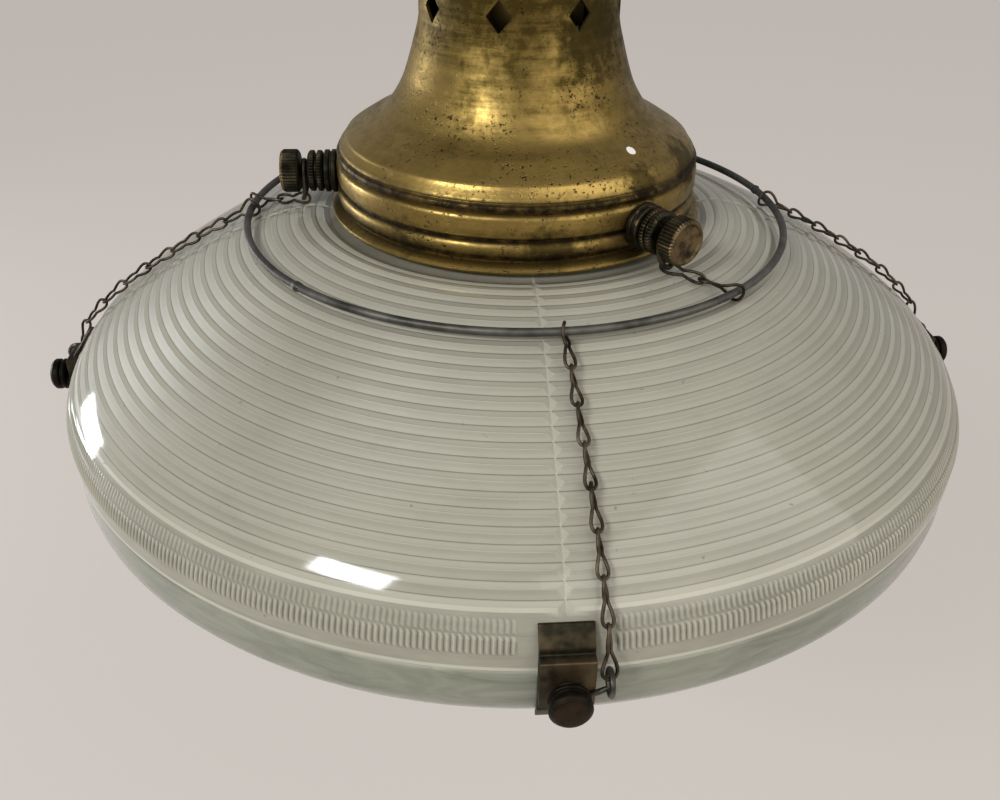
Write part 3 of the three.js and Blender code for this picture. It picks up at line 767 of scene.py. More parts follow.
@dataclass(frozen=True)
class DarkenedMetal:
    """Brass or wire gone dark, rubbed brighter where hands and neighbours touch it."""

    dark: Triple = (0.009, 0.010, 0.007)
    warm: Triple = (0.040, 0.034, 0.019)
    rubbed: Triple = (0.17, 0.115, 0.055)
    lumps: float = 260.0
    rough: float = 0.42
    metallic: float = 0.92
    relief: float = 0.12

    def material(self, name: str) -> Material:
        """Builds the material.

        Args:
            name: The material's name.

        Returns:
            The material.
        """
        sheet = NodeSheet(name)
        lumps = sheet.noise(self.lumps, detail=5, rough=0.62)
        broad = sheet.noise(self.lumps * 0.25, detail=3, rough=0.5)
        fine = sheet.noise(self.lumps * 6, detail=3, rough=0.6)
        colour = sheet.blend(sheet.ramp(lumps, ((0.40, 0), (0.62, 1))), self.dark, self.warm)
        edges = sheet.tree.nodes.new("ShaderNodeNewGeometry").outputs["Pointiness"]
        uneven = sheet.ramp(broad, ((0.42, 0.15), (0.6, 0.9)))
        wear = sheet.times(sheet.ramp(edges, ((0.52, 0), (0.60, 1))), uneven)
        worn = sheet.times(sheet.mark("rub"), sheet.ramp(lumps, ((0.34, 0.1), (0.56, 1))))
        colour = sheet.blend(sheet.greater(wear, worn), colour, self.rubbed)
        rough = sheet.add(self.rough, sheet.times(lumps, 0.22))
        sheet.surface(Base_Color=colour, Metallic=self.metallic, Roughness=rough)
        sheet.bump(sheet.add(lumps, sheet.times(fine, 0.4)), self.relief, strength=0.7)
        return sheet.material


BRASS_GONE_DARK = DarkenedMetal()
CLIP_SCREWS_DARK = DarkenedMetal(
    dark=(0.006, 0.005, 0.003), warm=(0.014, 0.010, 0.006), rubbed=(0.030, 0.018, 0.009),
)
LINK_WIRE = DarkenedMetal(
    dark=(0.014, 0.012, 0.009), warm=(0.052, 0.039, 0.024), rubbed=(0.21, 0.165, 0.11),
    lumps=420.0, rough=0.36,
)
RING_WIRE = DarkenedMetal(
    dark=(0.04, 0.038, 0.034), warm=(0.085, 0.08, 0.07), rubbed=(0.34, 0.33, 0.30), lumps=180.0,
)
HOOK_WIRE = DarkenedMetal(
    dark=(0.030, 0.027, 0.022), warm=(0.095, 0.088, 0.072), rubbed=(0.34, 0.32, 0.28),
    lumps=300.0, rough=0.36,
)


@dataclass(frozen=True)
class PressedGlass:
    """Clouded pressed glass: a clear smooth skin over a milky wall, with the ribs' light and shade
    painted into its colour by the tone mark.
    """

    # lit, shaded and valley are the painted light, the painted shade and the painted dark valley lines
    # of the ribs.
    lit: Triple = (0.50, 0.48, 0.39)
    shaded: Triple = (0.35, 0.337, 0.268)
    valley: Triple = (0.18, 0.17, 0.125)
    cloudy: float = 0.86
    uneven: float = 0.35
    dust: Triple = (0.12, 0.10, 0.07)
    rib_height: float = 1.2
    clear: float = 0.12
    rough: float = 0.5
    clouds: float = 14.0
    swirls: float = 70.0
    streaks: float = 30.0
    specks: float = 420.0

    def material(self, name: str) -> Material:
        """Builds the material.

        Args:
            name: The material's name.

        Returns:
            The material.
        """
        sheet = NodeSheet(name)
        clouds = sheet.noise(self.clouds, detail=4, rough=0.55)
        swirl = sheet.noise(self.swirls, detail=3, rough=0.5)
        streaks = sheet.noise(self.streaks, detail=4, rough=0.6, stretch=(1, 1, 6), twist=1.5)
        specks = sheet.ramp(sheet.noise(self.specks, detail=2, rough=0.5), ((0.745, 0), (0.775, 1)))
        # The tone mark paints light and shade: dark valley lines, lit and shaded sides of ribs; random
        # streaks make it uneven.
        tone = sheet.add(sheet.mark("tone"), sheet.times(sheet.less(streaks, 0.5), self.uneven))
        colour = sheet.blend(sheet.ramp(tone, ((0.0, 0), (0.38, 1))), self.valley, self.shaded)
        colour = sheet.blend(sheet.ramp(tone, ((0.40, 0), (1.0, 1))), colour, self.lit)
        dull = tuple(level * self.cloudy for level in (1.0, 1.0, 0.99))
        veil = sheet.blend(sheet.ramp(clouds, ((0.35, 0), (0.68, 1))), (1.0, 1.0, 1.0), dull)
        veiled = sheet.blend(1.0, colour, veil)
        veiled.node.blend_type = "MULTIPLY"
        colour = sheet.blend(sheet.times(specks, 0.5), veiled, self.dust)
        sheet.surface(
            Base_Color=colour,
            Roughness=self.rough,
            IOR=1.5,
            Transmission_Weight=self.clear,
            Subsurface_Weight=0.12,
            Subsurface_Radius=(0.003, 0.003, 0.002),
            Subsurface_Scale=1.0,
            Specular_IOR_Level=0.25,
            Coat_Weight=0.9,
            Coat_Roughness=0.08,
            Coat_IOR=1.42,
        )
        sheet.bump(sheet.add(sheet.mark("rib"), sheet.times(swirl, 0.08)), self.rib_height)
        return sheet.material


BOWL_GLASS = PressedGlass(
    lit=(0.50, 0.49, 0.40), shaded=(0.27, 0.28, 0.215), valley=(0.13, 0.14, 0.10),
    cloudy=0.7, uneven=0.9,
)


@dataclass(frozen=True)
class PlainCoat:
    """An even finish with a little unevenness, for the parts inside."""

    colour: Triple = (0.8, 0.8, 0.8)
    second: Triple = (0.7, 0.7, 0.7)
    metallic: float = 0.0
    rough: float = 0.3
    clear: float = 0.0
    lumps: float = 120.0
    relief: float = 0.08

    def material(self, name: str) -> Material:
        """Builds the material.

        Args:
            name: The material's name.

        Returns:
            The material.
        """
        sheet = NodeSheet(name)
        lumps = sheet.noise(self.lumps, detail=4, rough=0.55)
        colour = sheet.blend(sheet.ramp(lumps, ((0.4, 0), (0.65, 1))), self.colour, self.second)
        rough = sheet.add(self.rough, sheet.times(lumps, 0.12))
        sheet.surface(Base_Color=colour, Metallic=self.metallic, Roughness=rough,
                      Transmission_Weight=self.clear)
        sheet.bump(lumps, self.relief, strength=0.3)
        return sheet.material


class Tone(Enum):
    """The painted light and shade of a place of the glass, from the dark line of a valley to the lit
    side of a rib.
    """

    VALLEY = 0.0
    PLAIN = 0.28
    SHADED = 0.40
    SOFT = 0.55
    LIT = 1.0


@dataclass(frozen=True)
class RibPoint:
    """A point across a rib: its share of the pitch, its level from valley to crest, and its tone, the
    painted light and shade there.
    """

    share: float
    level: float
    tone: Tone


@dataclass(frozen=True)
class FluteRow:
    """A row of upright flutes between two distances from the crown, in millimetres; its contrast sets
    the flutes' depth and their painted light and shade.
    """

    name: str
    start: float
    end: float
    contrast: float


@dataclass
class GlassDome:
    """The dome: neck and bead, smooth skin, ribs and mould seams inside, fluted shoulder, plain rim."""

    rim_radius: float = 152.0
    bulge: float = 0.6
    side_height: float = 9.0
    shoulder_radius: float = 148.0
    shoulder_height: float = 14.9
    crown_radius: float = 62.0
    crown_height: float = 60.1
    crown_pull: float = 0.34
    line_steps: int = 200
    shoulder_pull: Pair = (0.05, 0.17)
    wall: float = 4.0
    neck_radius: float = 53.0
    bead: float = 1.4
    bead_bottom: float = 74.7
    bead_top: float = 77.3
    edge_share: float = 0.05
    foot_share: float = 0.90
    foot_height: float = 4.6
    foot_pull: Pair = (7.0, 6.0)
    skin_steps: int = 90
    foot_steps: int = 30
    points_per_mm: int = 10
    ribs: int = 22
    rib_pitch: float = 4.39
    rib_height: float = 1.2
    # Painted light and shade: each rib is painted lit on its upper side, shaded and softer on its lower
    # side, dark in its valley.
    rib_shape: tuple[RibPoint, ...] = (
        RibPoint(0.0, 0.0, Tone.VALLEY), RibPoint(0.07, 0.2, Tone.LIT),
        RibPoint(0.16, 0.4, Tone.LIT), RibPoint(0.25, 0.6, Tone.LIT),
        RibPoint(0.33, 0.8, Tone.LIT), RibPoint(0.40, 1.0, Tone.LIT),
        RibPoint(0.46, 0.9, Tone.SHADED), RibPoint(0.62, 0.6, Tone.SHADED),
        RibPoint(0.80, 0.3, Tone.SOFT), RibPoint(0.95, 0.05, Tone.SOFT),
    )
    last_rib: float = 0.64
    rising_points: int = 6
    rib_brink: float = 0.15
    seam_angles: tuple[float, ...] = (-85.0, 5.0, 95.0, 185.0)
    seam_half: float = 1.9
    seam_sweep: float = 4.6
    seam_steps: int = 12
    seam_end: float = 0.7
    seam_line: float = 0.1
    plain_steps: int = 40
    plain_points: int = 9
    flutes: int = 600
    flute_depth: float = 0.42
    flute_lift: float = 0.06
    flute_steps: int = 6
    flute_relief: float = 0.25
    sleeve: float = 0.5
    flute_rows: tuple[FluteRow, ...] = (
        FluteRow("flutes_upper", 100.6, 104.8, 0.5), FluteRow("flutes_lower", 105.0, 110.3, 1.0),
    )
    pad_half: float = 4.6
    crease: float = 24.0
    flute_crease: float = 20.0

    def line_at(self, share: float, lift: float = 0.0) -> Vector:
        """Gives a point of the dome's line without its ribs.

        Args:
            share: The share of the line's length, from the crown down to the shoulder.
            lift: How far the point is pushed out square to the line, in millimetres.

        Returns:
            The radius and height in millimetres.
        """
        samples = self.samples
        place = share * (len(samples) - 1)
        index = min(int(place), len(samples) - 2)
        point = samples[index].lerp(samples[index + 1], place - index)
        along = (samples[index + 1] - samples[index]).normalized()
        return point + Vector((-along.y, along.x)) * lift

    @cached_property
    def samples(self) -> Line:
        """The dome's line as points at equal lengths."""
        crown = Vector((self.crown_radius, self.crown_height))
        foot = Vector((self.shoulder_radius, self.shoulder_height))
        span = foot - crown
        first = crown + Vector((self.crown_pull * span.x, 0))
        second = foot - Vector((self.shoulder_pull[0] * span.x, self.shoulder_pull[1] * span.y))
        return even_points(pulled(crown, first, second, foot, self.line_steps), 2 * self.line_steps)

    def height_at(self, radius: float) -> float:
        """Gives the height of the dome's line at a radius.

        Args:
            radius: The radius in millimetres.

        Returns:
            The height above the seam.
        """
        samples = self.samples
        index = next(i for i, point in enumerate(samples) if point.x >= radius)
        low, high = samples[index - 1], samples[index]
        return low.y + (high.y - low.y) * (radius - low.x) / (high.x - low.x)

    @cached_property
    def skin(self) -> Line:
        """The smooth outside from the crown to the rim's bulge, as points 0.1 mm apart."""
        line = []
        for step in range(self.skin_steps + 1):
            share = self.foot_share * step / self.skin_steps
            line.append(self.line_at(share, self.rib_height * min(1.0, share / self.edge_share)))
        start = line[-1]
        end = Vector((self.rim_radius + self.bulge, self.foot_height))
        first = start + (start - line[-2]).normalized() * self.foot_pull[0]
        second = end + Vector((0, self.foot_pull[1]))
        line += pulled(start, first, second, end, self.foot_steps)[1:]
        length = sum((after - before).length for before, after in zip(line, line[1:]))
        return even_points(line, round(length * self.points_per_mm))

    def under_skin(self, distance: float, depth: float = 0.0) -> Vector:
        """Gives a point below the outside.

        Args:
            distance: The way from the crown down along the outside, in millimetres.
            depth: How far the point lies inside the glass, in millimetres.

        Returns:
            The radius and height in millimetres.
        """
        place = min(distance * self.points_per_mm, len(self.skin) - 1.001)
        index = int(place)
        before, after = self.skin[index], self.skin[index + 1]
        along = (after - before).normalized()
        return before.lerp(after, place - index) - Vector((-along.y, along.x)) * depth

    def rib_points(self) -> list[tuple[float, RibPoint]]:
        """Gives each rib point with its distance from the crown; the last rib is cut short.

        Returns:
            The distances and points, from the crown down.
        """
        points = [((rib + point.share) * self.rib_pitch, point)
                  for rib in range(self.ribs) for point in self.rib_shape]
        rising = self.rib_shape[:self.rising_points]
        points += [((self.ribs + point.share) * self.rib_pitch, point) for point in rising]
        end = (self.ribs + self.last_rib) * self.rib_pitch
        # The cut rib's crest is painted lit.
        points.append((end, RibPoint(1.0, 1.0, Tone.LIT)))
        points.append((end + self.rib_brink, RibPoint(1.0, 1.0, Tone.PLAIN)))
        return points

    def outline(self) -> list[tuple[Vector, float, Tone]]:
        """Gives the closed outline as points with rib level, below 0 on the inside, and tone of painted
        light and shade.

        Returns:
            The points, down the outside and up the inside.
        """
        ribs = self.rib_points()
        points = [(self.under_skin(distance), point.level, point.tone) for distance, point in ribs]
        start, length = ribs[-1][0], (len(self.skin) - 1) / self.points_per_mm
        for step in range(1, self.plain_points + 1):
            distance = start + (length - start) * step / self.plain_points
            points.append((self.under_skin(distance), 1.0, Tone.PLAIN))
        rim = self.rim_radius
        side = rim + self.bulge
        inner_rim = rim - self.wall
        # Painted highlight: a lit line along the rim's lower outer edge.
        foot = [
            (side, 2.1, Tone.PLAIN), (side, 1.8, Tone.LIT), (side, 0.9, Tone.LIT),
            (rim, GAP / 2, Tone.LIT), (inner_rim, GAP / 2, Tone.PLAIN),
            (inner_rim, self.side_height - 0.6, Tone.PLAIN),
        ]
        points += [(Vector((radius, height)), 1.0, tone) for radius, height, tone in foot]
        for distance, point in reversed(ribs[::2]):
            depth = self.wall + self.rib_height * point.level
            points.append((self.under_skin(distance, depth), -point.level, Tone.PLAIN))
        neck = self.neck_radius
        bore = neck - self.wall
        top = [
            (bore + 2.0, self.crown_height - self.wall + 0.3),
            (bore, self.crown_height - self.wall + 2.2),
            (bore, self.bead_top - 0.6),
            (bore + 0.6, self.bead_top),
            (neck + self.bead - 0.8, self.bead_top),
            (neck + self.bead, self.bead_top - 0.8),
            (neck + self.bead, self.bead_bottom + 0.7),
            (neck + self.bead - 0.6, self.bead_bottom),
            (neck + 0.3, self.bead_bottom),
            (neck, self.bead_bottom - 0.4),
            (neck, self.crown_height + 3.0),
            (neck + 0.7, self.crown_height + 1.1),
            (neck + 2.6, self.crown_height + 0.35),
            (neck + 6.0, self.crown_height + 0.1),
        ]
        return points + [(Vector(point), 0.0, Tone.PLAIN) for point in top]

    def mesh(self) -> Shape:
        """Spins the outline in plain stretches and, at the mould seams, in fine ones with a groove.

        Returns:
            The dome as a closed shell.
        """
        shape = bmesh.new()
        rib = shape.verts.layers.float.new("rib")
        light = shape.verts.layers.float.new("tone")
        outline = self.outline()
        ring = profile(shape, [(point.x, seam_up(point.y)) for point, _, _ in outline], closed=True)
        for vert, (_, level, tone) in zip(ring, outline):
            vert[rib], vert[light] = level, tone.value
        start = math.radians(self.seam_angles[0] - self.seam_sweep / 2)
        bmesh.ops.rotate(shape, verts=ring[:len(outline)], cent=(0, 0, 0),
                         matrix=Matrix.Rotation(start, 3, "Z"))
        stretches = ((self.seam_sweep, self.seam_steps), (90 - self.seam_sweep, self.plain_steps))
        for _ in self.seam_angles:
            for sweep, steps in stretches:
                made = bmesh.ops.spin(shape, geom=ring, cent=(0, 0, 0), axis=(0, 0, 1),
                                      angle=math.radians(sweep), steps=steps)
                ring = made["geom_last"]
        bmesh.ops.remove_doubles(shape, verts=shape.verts, dist=2 * SAME_POINT)
        for vert in shape.verts:
            self.groove(vert, rib, light)
            vert[rib] = abs(vert[rib])
        tidy(shape)
        return shape

    def from_seam(self, vert: Vert) -> float:
        """Gives the angle in degrees from the nearest mould seam to a point of the dome."""
        angle = math.degrees(math.atan2(vert.co.y, vert.co.x))
        return min(((angle - seam + 180) % 360 - 180 for seam in self.seam_angles), key=abs)

    def groove(self, vert: Vert, rib: Layer, light: Layer) -> None:
        """Cuts the ribs back to the sides of the straight groove that a mould seam leaves.

        Args:
            vert: A point of the dome.
            rib: The layer with the rib level, which is below 0 on the inside.
            light: The layer with the tone.
        """
        away = self.from_seam(vert)
        half = self.seam_sweep / 2
        if abs(away) > half - HARDLY:
            return
        radius = vert.co.xy.length
        place = away / half * self.seam_steps / (self.seam_steps - 2)
        shift = math.radians(-away) + self.seam_half * MM * place / radius
        vert.co.xy = Matrix.Rotation(shift, 2) @ vert.co.xy
        level = abs(vert[rib])
        allowed = min(abs(place), 1.0)
        if level < allowed - HARDLY or vert.co.z < seam_up(self.shoulder_height + self.seam_end) * MM:
            return
        if vert[rib] < 0:
            vert.co.z += (level - allowed) * self.rib_height * MM
        vert[rib] = math.copysign(allowed, vert[rib])
        # Painted light: the seam's middle line is painted lit, its cut faces half lit.
        side = (Tone.SOFT.value + Tone.LIT.value) / 2
        vert[light] = Tone.LIT.value if abs(place) < self.seam_line else side

    def flute_row(self, row: FluteRow) -> Shape:
        """Makes one row of upright flutes as a thin sleeve on the shoulder.

        Args:
            row: The row.

        Returns:
            The sleeve as a closed shell.
        """
        shape = bmesh.new()
        rib = shape.verts.layers.float.new("rib")
        light = shape.verts.layers.float.new("tone")
        part = [self.under_skin(row.start + (row.end - row.start) * step / self.flute_steps)
                for step in range(self.flute_steps + 1)]
        line = profile(shape, [(point.x, seam_up(point.y)) for point in part], closed=False)
        bmesh.ops.spin(shape, geom=line, cent=(0, 0, 0), axis=(0, 0, 1), angle=math.tau,
                       steps=self.flutes * 2, use_merge=True)
        bmesh.ops.remove_doubles(shape, verts=shape.verts, dist=SAME_POINT)
        middle = (part[0].y + part[-1].y) / 2
        half = abs(part[0].y - part[-1].y) / 2
        for vert in shape.verts:
            angle = math.atan2(vert.co.y, vert.co.x)
            crest = round(angle / math.tau * self.flutes * 2) % 2
            end = min(1.0, abs(vert.co.z / MM - seam_up(middle)) / half)
            swell = (1 - end**6) * (abs(self.from_seam(vert)) > self.pad_half)
            vert[rib] = crest * swell * self.flute_relief
            # Painted light and shade: crests lighter, hollows darker than plain glass, by the row's
            # contrast.
            vert[light] = Tone.PLAIN.value + (crest - 0.35) * swell * row.contrast
            rise = self.flute_depth * crest * swell * row.contrast + self.flute_lift
            vert.co.xy *= 1 + rise * MM / vert.co.xy.length
        bmesh.ops.recalc_face_normals(shape, faces=shape.faces)
        if sum(face.normal.dot(Vector((*face.calc_center_median().xy, 0))) for face in shape.faces) < 0:
            bmesh.ops.reverse_faces(shape, faces=shape.faces)
        bmesh.ops.solidify(shape, geom=shape.faces[:], thickness=self.sleeve * MM)
        bmesh.ops.recalc_face_normals(shape, faces=shape.faces)
        return shape

    def build(self, finish: PressedGlass) -> list[Piece]:
        """Builds the dome and its flutes.

        Args:
            finish: The glass.

        Returns:
            The pieces.
        """
        material = finish.material("upper_glass_finish")
        dome = new_piece("dome", self.mesh(), self.crease)
        pieces = [fit(dome, LAMP, material, ["upper_glass"])]
        for row in self.flute_rows:
            sleeve = new_piece(row.name, self.flute_row(row), self.flute_crease)
            pieces.append(fit(sleeve, LAMP, material))
        return pieces


@dataclass
class GlassBowl:
    """The shallow bowl under the dome, with concentric ribs under its belly."""

    rim_radius: float = 152.0
    side: float = 10.0
    depth: float = 42.0
    wall: float = 4.0
    ribs: int = 24
    rib_depth: float = 0.7
    rib_steps: int = 5
    first_share: float = 0.16
    last_share: float = 0.93
    plain_shares: tuple[float, ...] = (0.11, 0.05, 0.0)
    inner_steps: int = 16
    steps: int = 288
    lit_above: float = -0.9
    crease: float = 28.0

    def belly(self, radius: float, deep: float, angle: float) -> Pair:
        """Gives a point of the rounded belly, at an angle down from the rim."""
        return radius * math.cos(angle), -self.side - deep * math.sin(angle)

    def outline(self) -> Outline:
        """Gives the outline from the middle of the underside out, up and back inside to the axis.

        Returns:
            The radii and heights in the frame, in millimetres.
        """
        low = self.depth - self.side
        outside: Outline = [(0.0, -self.depth)]
        count = self.ribs * self.rib_steps
        for step in range(count, -1, -1):
            share = self.first_share + (self.last_share - self.first_share) * step / count
            angle = share * math.pi / 2
            wave = 0.5 - 0.5 * math.cos(math.tau * step / self.rib_steps)
            dent = self.rib_depth * wave if step < count else 0.0
            normal = Vector((math.cos(angle) / self.rim_radius, math.sin(angle) / low)).normalized()
            point = Vector(self.belly(self.rim_radius, low, angle))
            point -= Vector((normal.x, -normal.y)) * dent
            outside.append(tuple(point))
        outside += [self.belly(self.rim_radius, low, share * math.pi / 2)
                    for share in self.plain_shares]
        rim = self.rim_radius
        outside += [(rim, -self.side * 0.5), (rim, -1.0), (rim - 0.7, -GAP / 2)]
        top = self.rim_radius - self.wall
        inside: Outline = [(top + 0.7, -GAP / 2), (top, -1.0), (top, -self.side)]
        for step in range(1, self.inner_steps):
            angle = step / self.inner_steps * math.pi / 2
            inside.append(self.belly(top, low - self.wall, angle))
        inside.append((0.0, -self.depth + self.wall))
        return [(radius, seam_up(height)) for radius, height in outside + inside]

    def build(self, finish: PressedGlass) -> list[Piece]:
        """Builds the bowl.

        Args:
            finish: The glass.

        Returns:
            The piece.
        """
        shape = turned(self.outline(), self.steps, closed=False)
        light = shape.verts.layers.float.new("tone")
        for vert in shape.verts:
            lit = vert.co.z > seam_up(self.lit_above) * MM
            vert[light] = (Tone.LIT if lit else Tone.PLAIN).value
        bowl = new_piece("bowl", shape, self.crease)
        material = finish.material("lower_glass_finish")
        return [fit(bowl, LAMP, material, ["lower_glass"])]


@dataclass
class Holder:
    """The spun brass holder with its lip, bands, bell, vented neck and closed top."""

    bore: float = 56.2
    sheet: float = 1.0
    bottom: float = 61.6
    neck_radius: float = 30.6
    neck_top: float = 136.7
    top: float = 149.7
    nipple_bore: float = 5.3
    vent_count: int = 8
    vent_width: float = 7.7
    vent_height: float = 9.2
    vent_middle: float = 126.0
    vent_first: float = -101.0
    cut_length: float = 8.0
    drill_out: float = 1.5
    steps: int = 192
    line_steps: int = 4
    crease: float = 40.0
    # The grooves' heights and half widths, darkened by grime and painted shade.
    grooves: tuple[Pair, ...] = ((66.0, 2.1), (70.9, 1.3), (80.5, 2.6))
    # Painted shade: the bell browns upwards between these heights, and the neck above them.
    upper_shade_from: Pair = (94.0, 116.0)
    chip: Triple = (33.3, -34.5, -98.9)
    stains: tuple[Quad, ...] = (
        (52.0, -22.0, -106.5, 15.0), (36.0, -42.0, -106.5, 11.0), (22.0, -23.0, -68.0, 22.0),
        (10.0, -54.0, -121.0, 14.0), (-30.0, -45.0, -121.5, 12.0),
    )

    def bell(self, inset: float) -> Outline:
        """Gives the bell's line upwards, moved in by an inset.

        Args:
            inset: The inset in millimetres.

        Returns:
            The radii and heights.
        """
        knots = [
            (57.15, 82.6), (55.3, 85.0), (54.1, 86.5), (47.9, 90.4), (41.8, 94.0), (37.2, 100.6),
            (34.6, 107.0), (32.5, 113.9), (31.2, 118.4), (self.neck_radius, 121.4),
        ]
        line = flowing([(radius - inset, height) for radius, height in knots], self.line_steps)
        return [tuple(point) for point in line]

    def crown(self, inset: float) -> Outline:
        """Gives the closed top's line from the neck inwards, moved in by an inset.

        Args:
            inset: The inset in millimetres.

        Returns:
            The radii and heights.
        """
        rise = self.top - self.neck_top - inset
        width = self.neck_radius - inset
        shares = [(1, 0), (0.985, 0.28), (0.93, 0.52), (0.82, 0.75), (0.64, 0.93), (0.46, 1.0)]
        knots = [(width * across, self.neck_top + rise * up) for across, up in shares]
        line = flowing(knots, self.line_steps)
        return [tuple(point) for point in line]

    def outline(self) -> Outline:
        """Gives the closed outline, up the outside and down the inside.

        Returns:
            The radii and heights in the frame, in millimetres.
        """
        base: Outline = [
            (self.bore, self.bottom), (58.9, self.bottom), (60.1, 61.8), (60.65, 62.6), (60.5, 63.3),
            (59.6, 64.0), (57.7, 64.2), (57.2, 64.5), (57.2, 64.9), (57.8, 65.2), (58.3, 65.8),
            (58.5, 67.0), (58.5, 68.4), (58.3, 69.6), (57.8, 70.2), (57.2, 70.5), (57.2, 71.3),
            (57.7, 71.6), (58.25, 72.0), (58.5, 72.9), (58.5, 77.2), (58.25, 78.0), (57.8, 78.4),
            (57.35, 78.7), (57.5, 79.1), (58.0, 79.5), (58.2, 80.1), (58.2, 80.6), (57.9, 81.2),
            (57.1, 81.6), (56.9, 81.9), (57.2, 82.2),
        ]
        outer, inner = self.neck_radius, self.neck_radius - self.sheet
        line = [
            *base, *self.bell(0.0), (outer, 124.0), (outer, 132.0), *self.crown(0.0),
            (self.nipple_bore + 0.3, self.top), (self.nipple_bore, self.top - 0.3),
            (self.nipple_bore, self.top - self.sheet), *reversed(self.crown(self.sheet)),
            (inner, 132.0), (inner, 124.0), *reversed(self.bell(self.sheet)), (self.bore, 81.4),
        ]
        return [(radius, seam_up(height)) for radius, height in line]

    def vent_cutter(self, angle: float) -> Shape:
        """Makes the diamond rod that cuts one vent.

        Args:
            angle: The vent's angle about the lamp.

        Returns:
            The rod as a closed shell.
        """
        shape = bmesh.new()
        bmesh.ops.create_circle(shape, cap_ends=True, segments=4, radius=1.0)
        size = (self.vent_height / 2 * MM, self.vent_width / 2 * MM, 1)
        bmesh.ops.scale(shape, vec=size, verts=shape.verts)
        thicken(shape, (0, 0, self.cut_length * MM))
        lay = Matrix.Translation(((self.neck_radius - self.cut_length / 2) * MM, 0, 0)) @ LIE_OUTWARD
        return laid(shape, spoke(angle, self.vent_middle) @ lay)

    def screw_cutter(self, angle: float, screws: "HolderScrews") -> Shape:
        """Makes the rod that drills one screw hole."""
        lay = Matrix.Translation(((self.bore + self.drill_out) * MM, 0, 0)) @ LIE_OUTWARD
        return laid(rod(screws.shank + GAP, self.cut_length), spoke(angle, screws.height) @ lay)

    def build(self, finish: AgedBrass, screws: "HolderScrews") -> list[Piece]:
        """Builds the holder.

        Args:
            finish: The brass.
            screws: The screws whose holes are drilled.

        Returns:
            The piece.
        """
        holder = new_piece("holder", turned(self.outline(), self.steps), self.crease)
        count = self.vent_count
        cutters = [self.vent_cutter(self.vent_first + index * 360 / count) for index in range(count)]
        cutters += [self.screw_cutter(angle, screws) for angle in screws.angles]
        cut_away(holder, cutters)
        material = finish.material("holder_finish")
        return [fit(holder, LAMP, material, ["holder_bell"])]


